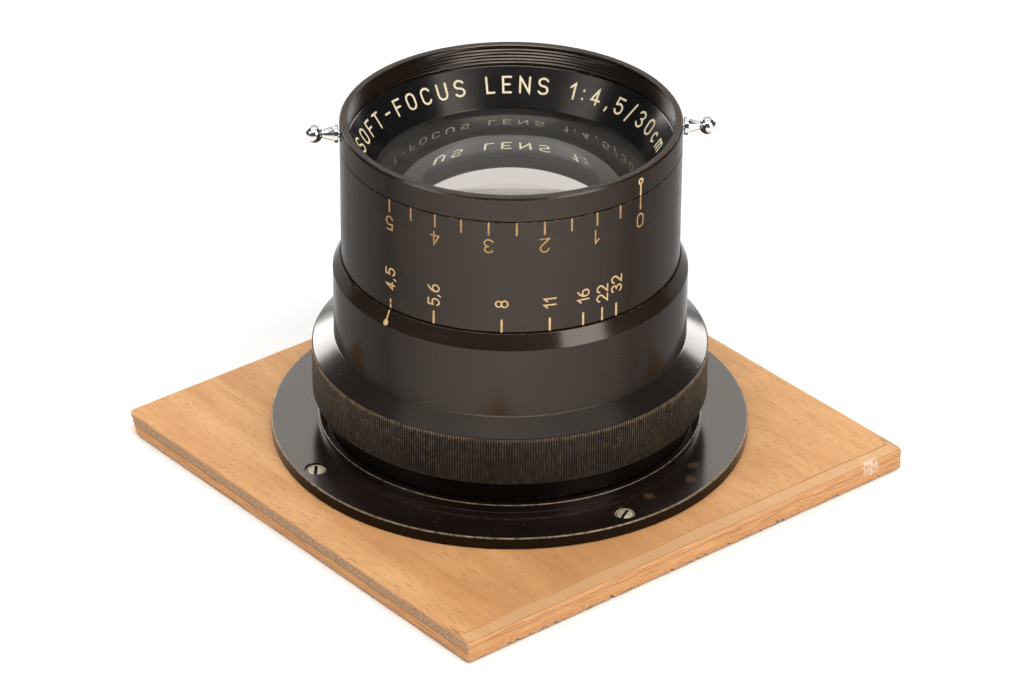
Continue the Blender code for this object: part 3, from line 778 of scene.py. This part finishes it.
def make_board():
    bm = bmesh.new()
    planed = bm.verts.layers.float.new("planed")
    loops = edge_loops(bm)
    flat = []
    for row, (near, far) in enumerate(zip(loops, loops[1:])):
        for (a, b), (c, d) in round_pairs(list(zip(near, far))):
            face = bm.faces.new((a, c, d, b))
            if row > len(loops) - 4:
                flat.append(face)
    for vert in loops[-2] + loops[-3]:
        if vert.co.x > cad_high.x / MM - STRIP - 2:
            vert[planed] = 1.0
    holes = []
    for z in (0.0, BOARD_TOP):
        hole = []
        for k in range(HOLE_SEGMENTS):
            hole.append(bm.verts.new(AXIS / MM + polar(BOARD_HOLE_R, 360 * k / HOLE_SEGMENTS, z)))
        holes.append(hole)
    low, high = holes
    for (a, b), (c, d) in round_pairs(list(zip(low, high))):
        bm.faces.new((a, c, d, b))
    flat += fill_face(bm, loops[0], low) + fill_face(bm, loops[-1], high)
    for face in bm.faces:
        face.smooth = True
    for face in flat:
        face.smooth = False
    board = finish("plywood_board", bm, PLYWOOD, "lens_body", "plywood", sharp=None, place=Vector())
    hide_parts("lens_board")
    holes = bmesh.new()
    for angle in SCREW_ANGLES:
        middle = Matrix.Translation(polar(SCREW_CIRCLE_R, angle, BOARD_TOP))
        add_rod(holes, SCREW_SHANK_R + GAP, 2 * (BOARD_TOP - 0.9), middle, 16)
    cut(board, holes)


# ---------------------------------------------------------------- flange and screws


def make_flange():
    outline = [
        (COLLAR_BORE_R, FLANGE_BOTTOM, 0),
        (FLANGE_R, FLANGE_BOTTOM, 0.1),
        (FLANGE_R, FLANGE_TOP, 0.3),
        (COLLAR_R, FLANGE_TOP, 0.15),
        (COLLAR_R, COLLAR_TOP, 0.15),
        (COLLAR_R - 1.5, COLLAR_TOP, 0),
        (COLLAR_R - 1.75, COLLAR_TOP - 0.35, 0),
        (COLLAR_BORE_R, COLLAR_TOP - 0.35, 0),
    ]
    flange = turned(
        "flange_ring", outline, FLANGE_BLACK, "lens_body", "black_lacquer", replaces="mounting_flange"
    )
    holes, sinks = bmesh.new(), bmesh.new()
    height = FLANGE_TOP - FLANGE_BOTTOM
    for angle in SCREW_ANGLES:
        through = Matrix.Translation(polar(SCREW_CIRCLE_R, angle, FLANGE_BOTTOM + height / 2))
        add_rod(holes, SCREW_SHANK_R + 0.25, height + 1, through)
        sink = Matrix.Translation(polar(SCREW_CIRCLE_R, angle, FLANGE_TOP - 0.9))
        add_rod(sinks, SCREW_SHANK_R + 0.5, 2.0, sink, 48, SCREW_HEAD_R + 0.45)
    cut(flange, holes)
    cut(flange, sinks)


def make_screws():
    slot_length, slot_width, slot_depth = 4.3, 0.95, 1.0
    _, tip, head = span("flange_screw_1")
    outline = [
        (0.0, head, 0.2),
        (1.2, head - 0.02, 0.2),
        (1.9, head - 0.08, 0.3),
        (2.12, head - 0.20, 0.6),
        (2.16, head - 0.45, 0.0),
        (2.34, head - 0.45, 0.0),
        (2.42, head - 0.12, 0.6),
        (2.60, head - 0.10, 1.0),
        (SCREW_HEAD_R, head - 0.33, 1.0),
        (SCREW_HEAD_R - 0.05, head - 0.60, 0.0),
        (SCREW_SHANK_R - 0.1, FLANGE_BOTTOM + 1.2, 0.0),
        (SCREW_SHANK_R - 0.1, tip + 1.3, 0.0),
        (0.0, tip, 0.0),
    ]
    for number, angle in enumerate(SCREW_ANGLES, 1):
        place = AXIS + polar(SCREW_CIRCLE_R, angle) * MM
        turned_screw = spin(outline, 48, closed=False)
        screw = finish(f"slotted_screw_{number}", turned_screw, NICKEL, "lens_body", "nickel", place=place)
        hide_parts(f"flange_screw_{number}")
        groove = bmesh.new()
        bmesh.ops.create_cube(groove, size=1.0)
        bmesh.ops.scale(groove, vec=(slot_length, slot_width, 2 * slot_depth), verts=groove.verts)
        turn = Matrix.Rotation(math.radians(SCREW_SLOT_TURNS[number - 1]), 3, "Z")
        bmesh.ops.rotate(groove, matrix=turn, verts=groove.verts)
        middle = polar(SCREW_CIRCLE_R, angle, head)
        bmesh.ops.translate(groove, vec=middle, verts=groove.verts)
        cut(screw, groove)


# ---------------------------------------------------------------- barrel and sleeve


def make_barrel():
    spigot_r, thread_r, neck_top = 45.5, 48.6, 18.9
    housing_r, housing_bore, housing_top, bore_top = 45.0, 43.7, 60.9, 57.0
    tube_bore = 39.9
    pin_slot_turn, pin_slot_z, pin_slot_reach = 1.81, 68.8, 3.8  # half the width and height of a slot
    drive_slot_turn, drive_slot_z, drive_slot_reach = 2.36, 53.8, 1.8
    ring_turn = 83.6
    outline = [
        (housing_bore, BARREL_BOTTOM, 0.1),
        (spigot_r, BARREL_BOTTOM, 0.3),
        (spigot_r, FLANGE_BOTTOM, 0.1),
        (thread_r, FLANGE_BOTTOM, 0.1),
        (thread_r, COLLAR_TOP + 0.3, 0.1),
        (NECK_R, COLLAR_TOP + 0.3, 0.2),
        (NECK_R, neck_top, 0.25),
        (housing_r, neck_top, 0.1),
        (housing_r, housing_top, 0.15),
        (TUBE_R, housing_top, 0.1),
        (TUBE_R, TUBE_TOP, 0.15),
        (tube_bore, TUBE_TOP, 0.15),
        (tube_bore, bore_top, 0.1),
        (housing_bore, bore_top, 0.1),
    ]
    barrel = turned(
        "barrel_body", outline, LACQUER, "lens_body", "black_lacquer", INNER_SEGMENTS, "main_barrel"
    )
    slots = bmesh.new()
    for angle in PIN_ANGLES:
        start, end = (angle - pin_slot_turn, pin_slot_z), (angle + pin_slot_turn, pin_slot_z)
        add_slot(slots, (tube_bore - 1, TUBE_R + 1), start, end, pin_slot_reach, 2)
    for angle in DRIVE_ANGLES:
        start = (angle - drive_slot_turn, drive_slot_z)
        end = (angle + ring_turn + drive_slot_turn, drive_slot_z)
        add_slot(slots, (housing_bore - 1, housing_r + 1), start, end, drive_slot_reach, 40)
    cut(barrel, slots)
    # Faces below the neck's top take the darker lacquer: painted shade in the recess above the flange.
    barrel.data.materials.append(NECK_SHADE_BLACK)
    for face in barrel.data.polygons:
        if face.center.z / MM < neck_top - 0.1:
            face.material_index = 1


def make_sleeve():
    bore_r, recess_r = TUBE_R + GAP, SKIRT_R + GAP
    recess_bottom = SOFT_SKIRT_BOTTOM - GAP
    foot_top = SLEEVE_BOTTOM + 1.7
    outline = [
        (bore_r, SLEEVE_BOTTOM, 0.1),
        (SLEEVE_R, SLEEVE_BOTTOM, 0.12),
        (SLEEVE_R, SLEEVE_TOP, 0.10),
        (recess_r, SLEEVE_TOP, 0.1),
        (recess_r, recess_bottom, 0.1),
        (SKIRT_BORE_R, recess_bottom, 0.1),
        (SKIRT_BORE_R, foot_top, 0.1),
        (bore_r, foot_top, 0.1),
    ]
    turned("sleeve_body", outline, LACQUER, "lens_body", "black_lacquer", replaces="scale_sleeve")


# ---------------------------------------------------------------- aperture ring


def make_aperture_ring():
    root_r = GRIP_R - TOOTH_DEPTH
    rebate_r = root_r - 0.6
    slope = (CONE_TOP - GRIP_TOP) / (GRIP_R - APERTURE_R)
    cone_r = root_r - 0.05
    cone_bottom = GRIP_TOP + slope * (GRIP_R - cone_r)
    outline = [
        (RING_BORE_R, GRIP_BOTTOM, 0.15),
        (rebate_r, GRIP_BOTTOM, 0),
        (rebate_r, cone_bottom - 0.4, 0),
        (cone_r, cone_bottom - 0.4, 0),
        (cone_r, cone_bottom, 0),
        (APERTURE_R, CONE_TOP, 0.15),
        (APERTURE_R, CHAMFER_BOTTOM, 0.12),
        (CHAMFER_R, RING_TOP, 0.12),
        (RING_BORE_R, RING_TOP, 0.1),
    ]
    ring = turned(
        "aperture_ring_body", outline, GLOSSY, "aperture_control", "black_lacquer", replaces="aperture_ring"
    )
    grooves = bmesh.new()
    groove_radii, groove_turn = (44.0, 46.9), 2.29
    bottom, top = GRIP_BOTTOM - 1, 55.6
    middle = (bottom + top) / 2
    for angle in DRIVE_ANGLES:
        start, end = (angle - groove_turn, middle), (angle + groove_turn, middle)
        add_slot(grooves, groove_radii, start, end, top - middle, 4)
    cut(ring, grooves)
    ring.data.materials.append(CONE_BLACK)
    for face in ring.data.polygons:
        if 0.4 < face.normal.z < 0.98 and face.center.z / MM < CONE_TOP - 0.1:
            face.material_index = 1
    make_grip(root_r, rebate_r, slope)


def make_grip(root_r, rebate_r, slope):
    """The knurled band: teeth with flat tips that run out under the cone at the top."""
    steps = ((0.0, 0.0), (0.26, 0.0), (0.46, 1.0), (0.74, 1.0))  # share of the pitch, share of the depth
    rows = (  # height, share of the tooth's depth, wear
        (GRIP_BOTTOM, 0.0, 0.0),
        (GRIP_BOTTOM + 0.35, 0.95, 0.5),
        (GRIP_BOTTOM + 0.9, 1.0, 0.46),
        ((GRIP_BOTTOM + GRIP_TOP) / 2, 1.0, 0.48),
        (GRIP_TOP - 1.2, 1.0, 0.52),
        # The top two rows' high wear is partly a painted highlight along the grip's top edge.
        (GRIP_TOP - 0.30, 1.0, 0.9),
        (GRIP_TOP, 1.0, 1.0),
    )
    inner_r = rebate_r + 0.02
    columns = []
    for tooth in range(TOOTH_COUNT):
        for share, height in steps:
            column = [(inner_r, GRIP_BOTTOM, 0.0)]
            for z, depth, wear in rows:
                column.append((root_r + TOOTH_DEPTH * height * depth, z, wear * height))
            tip_r = root_r + TOOTH_DEPTH * height * 0.15
            column.append((tip_r, GRIP_TOP + 0.9 * slope * (GRIP_R - tip_r), 0.2 * height))
            column.append((inner_r, GRIP_TOP + 0.9 * slope * TOOTH_DEPTH, 0.0))
            columns.append((360 * (tooth + share) / TOOTH_COUNT, column))
    finish("aperture_ring_grip", weave(columns), GRIP, "aperture_control", "bronze_black")


# ---------------------------------------------------------------- softness ring


def thread_profile(turn):
    """The filter thread's points, from its top down, at a share of a full turn."""
    top, bottom = SOFT_TOP - 0.45, 95.4
    rows = 60
    points = []
    for row in range(rows + 1):
        z = top + (bottom - top) * row / rows
        share = (z / THREAD_PITCH + turn) % 1.0
        depth = 2 * min(share, 1 - share)
        fade = min(1.0, row / 4, (rows - row) / 4)
        points.append((FILTER_BORE_R + THREAD_DEPTH * depth * fade, z, 0.35 * (1 - depth)))
    return points


def make_softness_ring():
    """The top ring, with a cut filter thread inside and the skirt that drives the cam tube."""
    lip = SOFT_TOP - 0.3
    relief_r = 44.2  # clears the tip of the name ring
    outline = [
        (SOFT_R - 1.0, SOFT_RING_BOTTOM, 0),
        (SOFT_R, SOFT_RING_BOTTOM, 0.10),
        (SOFT_R, SOFT_TOP - 0.62, 0.10),
        (SOFT_R - 0.44, SOFT_TOP, 0.10),
        (FILTER_BORE_R + 0.25, SOFT_TOP, 0.08),
        (FILTER_BORE_R, SOFT_TOP - 0.25, 0),
        (FILTER_BORE_R, lip, 0),
        (relief_r, 95.1, 0),
        (relief_r, 93.5, 0),
        (SKIRT_BORE_R, 92.3, 0.1),
        (SKIRT_BORE_R, SOFT_SKIRT_BOTTOM, 0.1),
        (SKIRT_R, SOFT_SKIRT_BOTTOM, 0.1),
        (SKIRT_R, SOFT_RING_BOTTOM, 0),
    ]
    profile = rounded(outline)
    above = next(k for k, point in enumerate(profile) if abs(point[1] - lip) < 1e-6) + 1
    below = [(radius, z, 0.0) for radius, z, _ in profile[above:]]
    columns = []
    for j in range(SEGMENTS):
        turn = j / SEGMENTS
        columns.append((360 * turn, profile[:above] + thread_profile(turn) + below))
    ring = finish("softness_ring_body", weave(columns), LACQUER, "softness_control", "black_lacquer")
    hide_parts("softness_ring")
    holes = bmesh.new()
    for side in ("right", "left"):
        angle, height = handle_place(side)
        add_rod(holes, 1.3, 8, radial(angle, SOFT_R, height), 24)
    cut(ring, holes)


def handle_place(side):
    """Angle about the lens axis and height of a ball handle."""
    low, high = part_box(f"ball_handle_{side}")
    middle = (low + high) / 2 - AXIS
    return math.degrees(math.atan2(middle.y, middle.x)), middle.z / MM


def make_handles():
    ball_r, neck_r = 2.45, 1.15
    ball_centre = 52.8 - SOFT_R
    neck = ball_centre - math.sqrt(ball_r**2 - neck_r**2)
    outline = [
        (0.0, -1.5, 0.0),
        (1.0, -1.5, 0.0),
        (1.0, 0.3, 0.0),
        (2.3, 0.3, 0.0),
        (2.5, 0.5, 0.0),
        (2.5, 1.35, 0.0),
        (2.4, 1.5, 0.0),
        (2.12, 1.62, 0.0),
        (neck_r, neck - 0.15, 0.0),
    ]
    first = math.degrees(math.asin((neck - ball_centre) / ball_r))
    steps = 20
    for k in range(steps + 1):
        arm = polar(ball_r, first + (90 - first) * k / steps)
        outline.append((max(arm.x, 0.0) if k < steps else 0.0, ball_centre + arm.y, 0.0))
    for side in ("right", "left"):
        angle, height = handle_place(side)
        bm = spin(outline, 48, closed=False)
        bmesh.ops.transform(bm, matrix=radial(angle, SOFT_R, height), verts=bm.verts)
        handle = finish(f"chrome_handle_{side}", bm, CHROME, "softness_control", "chrome")
        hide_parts(f"ball_handle_{side}")


# ---------------------------------------------------------------- name ring, cells and glass


def make_name_ring():
    wall = 1.1
    stem_r = 38.3
    slope = (NAME_TIP - NAME_BOTTOM) / (NAME_TIP_R - NAME_BOTTOM_R)
    outline = [
        (NAME_BOTTOM_R, NAME_BOTTOM, 0.08),
        (stem_r, NAME_BOTTOM, 0.08),
        (stem_r, NAME_BOTTOM + slope * (stem_r - NAME_BOTTOM_R) - wall, 0.1),
        (NAME_TIP_R, NAME_TIP - wall, 0.1),
        (NAME_TIP_R, NAME_TIP, 0.08),
    ]
    turned("name_ring_cone", outline, NAME_BLACK, "lens_body", "black_gloss", replaces="name_ring")


def lens_surface(vertex_z, curve_r, edge_r):
    """Points from the axis out to the edge; a positive curve radius bulges upwards."""
    steps = 24
    points = []
    for step in range(steps + 1):
        r = edge_r * step / steps
        sag = abs(curve_r) - math.sqrt(curve_r**2 - r**2)
        points.append((r, vertex_z - math.copysign(sag, curve_r), 0.0))
    return points


def make_glass(name, outline, nodes, body):
    piece = finish(name, spin(outline, 96, closed=False), GLASS, body, "glass", sharp=12.0)
    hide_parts(*nodes)
    return piece


def make_front_doublet():
    """Thick doublet with a hollowed back; the rest of its back and its rim are blackened."""
    glass_r, hollow_r, seat_z, cone_r = 38.3, 21.0, 77.3, 36.5
    rim_top = 82.5
    outline = lens_surface(92.0, 86, glass_r)
    outline += [(glass_r, seat_z, 0.0), (cone_r, seat_z, 0.0), (cone_r, seat_z - 0.8, 0.0)]
    outline += lens_surface(73.0, 120, hollow_r)[::-1]
    pair = ["front_crown_element", "front_flint_element"]
    piece = make_glass("cemented_front_doublet", outline, pair, "lens_body")
    piece.data.materials.append(MATTE)
    for face in piece.data.polygons:
        if face.center.z / MM < rim_top and face.center.xy.length / MM > hollow_r:
            face.material_index = 1


def make_optics():
    make_front_doublet()
    middle_r, rear_r = 35.8, 38.3
    outline = lens_surface(64.9, -196, middle_r) + lens_surface(62.5, 196, middle_r)[::-1]
    make_glass("middle_biconcave", outline, ["middle_element"], "middle_group")
    outline = lens_surface(24.4, 307, rear_r) + lens_surface(9.0, -120, rear_r)[::-1]
    pair = ["rear_flint_element", "rear_crown_element"]
    make_glass("cemented_rear_doublet", outline, pair, "lens_body")


def keep_nodes():
    """Better materials on the CAD nodes that stay."""
    looks = {
        "front_cell": BAFFLE,
        "middle_cell": BAFFLE,
        "middle_retaining_ring": MATTE,
        "rear_cell": BAFFLE,
        "rear_retaining_ring": MATTE,
        "softness_cam_tube": BRASS,
        "iris_cam_ring": BRASS,
        "iris_seat_ring": MATTE,
        "aperture_drive_pin": BRASS,
        "guide_pin": BRASS,
        "iris_leaf": STEEL,
    }
    for name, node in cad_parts.items():
        look = looks.get(name.rstrip("_0123456789"))
        if look:
            node.data.materials.clear()
            node.data.materials.append(look)


# ---------------------------------------------------------------- engraved figures


def arc(cx, cy, rx, ry, start, end, steps=8):
    """Points of an elliptic arc."""
    points = []
    for k in range(steps + 1):
        turn = math.radians(start + (end - start) * k / steps)
        points.append((cx + rx * math.cos(turn), cy + ry * math.sin(turn)))
    return points


def glyphs():
    """Strokes of each character in a cell one unit high; the second value is its width."""
    w = 0.60
    h = w / 2
    oval = ([arc(h, h, h, h, 180, 360) + arc(h, 1 - h, h, h, 0, 180) + [(0, h)]], w)
    return {
        "0": oval,
        "1": ([[(0.02, 0.72), (0.28, 1), (0.28, 0)]], 0.30),
        "2": ([arc(h, 1 - h, h, h, 170, -30) + [(0, 0), (w, 0)]], w),
        "3": (
            [
                arc(h, 0.76, h * 0.92, 0.24, 160, -90, 10),
                arc(h, 0.26, h, 0.26, 90, -160, 10),
            ],
            w,
        ),
        "4": ([[(0.38, 0), (0.38, 1), (0, 0.28), (w, 0.28)]], w),
        "5": ([[(w * 0.92, 1), (0.06, 1), (0.03, 0.58)] + arc(h, 0.32, h, 0.32, 125, -160, 12)], w),
        "6": (
            [
                [(w * 0.75, 1)] + arc(w * 0.9, 0.34, w * 0.9, 0.62, 125, 180, 5),
                arc(h, h, h, h, 0, 360, 18),
            ],
            w,
        ),
        "8": ([arc(h, 0.75, h * 0.88, 0.25, 0, 360, 18), arc(h, 0.26, h, 0.26, 0, 360, 18)], w),
        ",": ([[(0.10, 0.10), (0.02, -0.12)]], 0.14),
        ":": ([[(0.05, 0.66), (0.05, 0.70)], [(0.05, 0.12), (0.05, 0.16)]], 0.10),
        "/": ([[(0, -0.15), (0.42, 1.12)]], 0.42),
        " ": ([], 0.32),
        "-": ([[(0.05, 0.5), (0.45, 0.5)]], 0.5),
        "A": ([[(0, 0), (0.32, 1), (0.64, 0)], [(0.11, 0.33), (0.53, 0.33)]], 0.64),
        "C": ([arc(h, 1 - h, h, h, 20, 180) + arc(h, h, h, h, 180, 340)], w),
        "E": ([[(0.5, 1), (0, 1), (0, 0), (0.5, 0)], [(0, 0.52), (0.42, 0.52)]], 0.5),
        "F": ([[(0.5, 1), (0, 1), (0, 0)], [(0, 0.52), (0.42, 0.52)]], 0.48),
        "L": ([[(0, 1), (0, 0), (0.46, 0)]], 0.46),
        "N": ([[(0, 0), (0, 1), (w, 0), (w, 1)]], w),
        "O": oval,
        "S": ([arc(h, 0.75, h * 0.95, 0.25, 25, 270, 10) + arc(h, 0.25, h, 0.25, 90, -155, 10)], w),
        "T": ([[(0, 1), (0.56, 1)], [(0.28, 1), (0.28, 0)]], w),
        "U": ([[(0, 1)] + arc(h, h, h, h, 180, 360) + [(w, 1)]], w),
        "c": ([arc(0.22, 0.32, 0.22, 0.32, 45, 315, 12)], 0.42),
        "m": (
            [
                [(0, 0), (0, 0.64)],
                [(0, 0.44)] + arc(0.17, 0.46, 0.17, 0.18, 180, 0, 8) + [(0.34, 0)],
                [(0.34, 0.44)] + arc(0.51, 0.46, 0.17, 0.18, 180, 0, 8) + [(0.68, 0)],
            ],
            0.68,
        ),
    }


GLYPHS = glyphs()


def text_strokes(text, height, tracking):
    """Strokes of a line of text in millimetres, centred on its middle."""
    strokes = []
    pen = 0.0
    for character in text:
        shapes, width = GLYPHS[character]
        for shape in shapes:
            strokes.append([(pen + x * height, y * height) for x, y in shape])
        pen += (width + tracking) * height
    total = pen - tracking * height
    return [[(x - total / 2, y - height / 2) for x, y in stroke] for stroke in strokes]


class Ink:
    """Collects engraved strokes as thin closed ribbons laid on a surface."""

    def __init__(self):
        self.bm = bmesh.new()
        self.count = 0

    def stroke(self, points, width, surface, turn=0.0, middle=(0.0, 0.0)):
        """A stroke with round ends; turn rotates it and middle moves it on the flat surface."""
        spin_by = complex(*polar(1, turn)[:2])
        line = []
        for x, y in points:
            moved = complex(x, y) * spin_by + complex(*middle)
            pieces = math.ceil(abs(moved - line[-1]) / 0.7) if line else 1
            start = line[-1] if line else moved
            for piece in range(pieces):
                line.append(start + (moved - start) * (piece + 1) / pieces)
        half = width / 2
        closed = abs(line[0] - line[-1]) < 1e-3
        left, right = [], []
        last = len(line) - 1
        for k, point in enumerate(line):
            before = line[k - 1] if k else (line[-2] if closed else None)
            after = line[k + 1] if k < last else (line[1] if closed else None)
            into = (point - before) / abs(point - before) if before is not None else None
            out = (after - point) / abs(after - point) if after is not None else None
            if into is None or out is None:
                side = 1j * (out if into is None else into)
            else:
                side = 1j * (into + out) / abs(into + out)
                side /= max(0.45, (side * (1j * into).conjugate()).real)
            left.append(point + half * side)
            right.append(point - half * side)
        ring = list(left)
        if not closed:
            ring += self.cap(line[-1], line[-1] - line[-2], half)
        ring += right[::-1]
        if not closed:
            ring += self.cap(line[0], line[0] - line[1], half)
        self.count += 1
        top = INK_LIFT + 0.0015 * (self.count % 7)
        levels = []
        for lift in (top, -INK_DEPTH):
            levels.append([self.bm.verts.new(surface(p.real, p.imag, lift)) for p in ring])
        self.fill(levels, len(line), closed)

    @staticmethod
    def cap(point, heading, half):
        """The round end of a stroke, from its left to its right side."""
        unit = heading / abs(heading)
        return [point + half * unit * complex(*polar(1, turn)[:2]) for turn in (60, 30, 0, -30, -60)]

    def fill(self, levels, length, closed):
        """Faces of a ribbon whose ring runs up the left side and back down the right side."""
        size = len(levels[0])
        last = 2 * length - 1 if closed else 2 * length + 4
        pairs = [(k, last - k) for k in range(length)]
        for level in levels:
            for (a, b), (c, d) in zip(pairs, pairs[1:]):
                self.bm.faces.new((level[a], level[c], level[d], level[b]))
            if not closed:
                self.bm.faces.new(level[length - 1 : length + 6])
                self.bm.faces.new(level[2 * length + 5 :] + [level[0]] + [level[2 * length + 4]])
        top, bottom = levels
        for k in range(size):
            after = (k + 1) % size
            if not closed or after % length:
                self.bm.faces.new((top[k], top[after], bottom[after], bottom[k]))

    def dot(self, radius, surface, middle, hole=0.0):
        """A filled disc, or a ring when it has a hole."""
        steps = 20
        if hole:
            middle_r = (radius + hole) / 2
            points = arc(0, 0, middle_r, middle_r, 0, 360, steps)
            self.stroke(points, radius - hole, surface, 0.0, middle)
            return
        levels = []
        for lift in (INK_LIFT + 0.004, -INK_DEPTH):
            ring = []
            for k in range(steps):
                arm = polar(radius, 360 * k / steps)
                ring.append(self.bm.verts.new(surface(middle[0] + arm.x, middle[1] + arm.y, lift)))
            levels.append(ring)
            self.bm.faces.new(ring)
        for (a, b), (c, d) in round_pairs(list(zip(*levels))):
            self.bm.faces.new((a, c, d, b))

    def finish(self, name, material, body, slot):
        bmesh.ops.remove_doubles(self.bm, verts=self.bm.verts, dist=1e-5)
        return finish(name, self.bm, material, body, slot, sharp=40.0)


def on_cylinder(radius, angle):
    """Surface with u running anticlockwise around the lens and v upwards, from an angle."""

    def surface(u, v, lift):
        return polar(radius + lift, angle + math.degrees(u / radius), v)

    return surface


def on_cone(angle):
    """Inner surface of the name ring: u runs clockwise and v up the slope from its middle."""
    middle_r = (NAME_BOTTOM_R + NAME_TIP_R) / 2
    middle_z = (NAME_BOTTOM + NAME_TIP) / 2
    along = Vector((NAME_TIP_R - NAME_BOTTOM_R, NAME_TIP - NAME_BOTTOM)).normalized()
    outwards = Vector((-along.y, along.x))

    def surface(u, v, lift):
        flat = Vector((middle_r, middle_z)) + along * v + outwards * lift
        return polar(flat.x, angle - math.degrees(u / middle_r), flat.y)

    return surface


def engrave_softness_scale():
    ink = Ink()
    tick_top, tick_length = SLEEVE_TOP - 0.25, 3.4
    for step in range(SOFTNESS_STEPS + 1):
        angle = VIEW_ANGLE + SOFTNESS_ZERO - SOFTNESS_STEP * step
        surface = on_cylinder(SLEEVE_R, angle)
        ink.stroke([(0, tick_top), (0, tick_top - tick_length)], 0.52, surface)
        if step % 2 == 0:
            middle = (0.0, tick_top - tick_length - 3.4)
            for stroke in text_strokes(str(step // 2), 3.8, 0.25):
                ink.stroke(stroke, 0.42, surface, 180.0, middle)
    ink.finish("softness_scale_figures", SHADED_OCHRE, "lens_body", "brass")


def engrave_aperture_scale():
    ink = Ink()
    tick_bottom, tick_length = SLEEVE_BOTTOM + 0.25, 3.4
    for text, angle, gap in APERTURE_MARKS:
        surface = on_cylinder(SLEEVE_R, VIEW_ANGLE + angle)
        if text == "4,5":
            for low in (0.0, 1.6):
                ink.stroke([(0, tick_bottom + low), (0, tick_bottom + low + 0.9)], 0.5, surface)
        else:
            ink.stroke([(0, tick_bottom), (0, tick_bottom + tick_length)], 0.58, surface)
        strokes = text_strokes(text, 3.2, 0.28)
        length = max(x for stroke in strokes for x, _ in stroke)
        middle = (0.0, tick_bottom + tick_length + gap + length)
        for stroke in strokes:
            ink.stroke(stroke, 0.44, surface, 90.0, middle)
    ink.finish("aperture_scale_figures", CREAM, "lens_body", "brass")


def engrave_indexes():
    ink = Ink()
    surface = on_cylinder(SOFT_R, VIEW_ANGLE + SOFTNESS_ZERO)
    ring_z = SOFT_RING_BOTTOM + 4.2
    ink.dot(1.0, surface, (0, ring_z), hole=0.45)
    ink.stroke([(0, ring_z - 1.0), (0, SOFT_RING_BOTTOM + 0.2)], 0.55, surface)
    ink.finish("softness_index_mark", CREAM, "softness_control", "brass")

    ink = Ink()
    angle = VIEW_ANGLE + APERTURE_MARKS[0][1]
    lean = (APERTURE_R - CHAMFER_R) / (RING_TOP - CHAMFER_BOTTOM)

    def chamfer(u, v, lift):
        radius = APERTURE_R - lean * (v - CHAMFER_BOTTOM) + lift
        return polar(radius, angle + math.degrees(u / radius), v)

    dot_z = CHAMFER_BOTTOM + 0.9
    ink.dot(0.8, chamfer, (0, dot_z))
    ink.stroke([(0, dot_z + 0.6), (0, RING_TOP - 0.3)], 0.5, chamfer)
    ink.finish("aperture_index_mark", CREAM, "aperture_control", "brass")


def engrave_name_ring():
    ink = Ink()
    surface = on_cone(VIEW_ANGLE + 181.3)
    for stroke in text_strokes("SOFT-FOCUS LENS 1:4,5/30cm", 4.3, 0.59):
        ink.stroke(stroke, 0.58, surface, middle=(0.0, 0.55))
    ink.finish("name_ring_figures", WHITE, "lens_body", "brass")


# ---------------------------------------------------------------- camera, light and floor


def make_camera():
    data = bpy.data.cameras.new("camera")
    data.sensor_width = 36.0
    data.lens = 167.47
    data.clip_start = 0.05
    camera = add_object("camera", data, AXIS + Vector((864.3, -715.0, 678.8)) * MM)
    azimuth, pitch, yaw, roll = 50.4, 29.926, -0.0435, -0.2859
    turn = Matrix.Rotation(math.radians(azimuth - yaw), 3, "Z")
    tilt = Matrix.Rotation(math.radians(90 - pitch), 3, "X")
    camera.rotation_euler = (turn @ tilt @ Matrix.Rotation(math.radians(-roll), 3, "Z")).to_euler()
    bpy.context.scene.camera = camera


def make_light(name, angle, elevation, distance, size, radiance, colour=(1, 1, 1)):
    """Softbox at an angle from the direction of the camera, aimed at the lens."""
    data = bpy.data.lights.new(name, "AREA")
    data.shape = "RECTANGLE"
    data.size, data.size_y = size
    data.energy = radiance * math.pi * size[0] * size[1]
    data.color = colour
    rise = math.radians(elevation)
    direction = polar(math.cos(rise), VIEW_ANGLE + angle, math.sin(rise))
    light = add_object(name, data, AXIS + Vector((0, 0, 0.05)) + direction * distance)
    light.rotation_euler = (-direction).to_track_quat("-Z", "Y").to_euler()


def make_studio():
    size = 4.0
    mesh = bpy.data.meshes.new("studio_floor")
    corners = [(-size, -size, 0), (size, -size, 0), (size, size, 0), (-size, size, 0)]
    mesh.from_pydata(corners, [], [(0, 1, 2, 3)])
    floor = add_object("studio_floor", mesh, (0, 0, -0.0002))
    paper = Shader("white_paper")
    paper.set(Base_Color=(0.93, 0.93, 0.92), Roughness=0.9)
    paper.bump(paper.noise(1.5, detail=3.0), 0.1, 0.02)
    mesh.materials.append(paper.material)

    make_light("softbox_right", 46, 24, 1.1, (0.53, 0.74), 4.3)
    make_light("softbox_left", -60, 34, 1.1, (0.50, 0.30), 3.0)
    make_light("softbox_back_right", 145, 13, 1.2, (0.56, 0.34), 7.5)
    make_light("softbox_back_left", -142, 13, 1.2, (0.64, 0.34), 9.5)
    make_light("softbox_back", 180, 35, 1.6, (2.0, 1.0), 0.74, (1.0, 0.94, 0.88))
    make_light("softbox_high", 180, 68, 1.5, (1.4, 0.64), 0.7)
    make_light("softbox_front", 0, 67, 1.3, (1.2, 0.42), 6.0)
    make_light("softbox_top", 0, 86, 1.6, (2.0, 2.0), 0.72)
    world = bpy.data.worlds.new("studio")
    world.use_nodes = True
    background = world.node_tree.nodes["Background"]
    background.inputs["Color"].default_value = (0.95, 0.97, 1.0, 1.0)
    background.inputs["Strength"].default_value = 0.10
    bpy.context.scene.world = world
    bpy.context.scene.view_settings.view_transform = "Standard"


make_camera()
make_studio()
make_board()
make_flange()
make_screws()
make_barrel()
make_sleeve()
make_aperture_ring()
make_softness_ring()
make_handles()
make_name_ring()
make_optics()
keep_nodes()
engrave_softness_scale()
engrave_aperture_scale()
engrave_indexes()
engrave_name_ring()
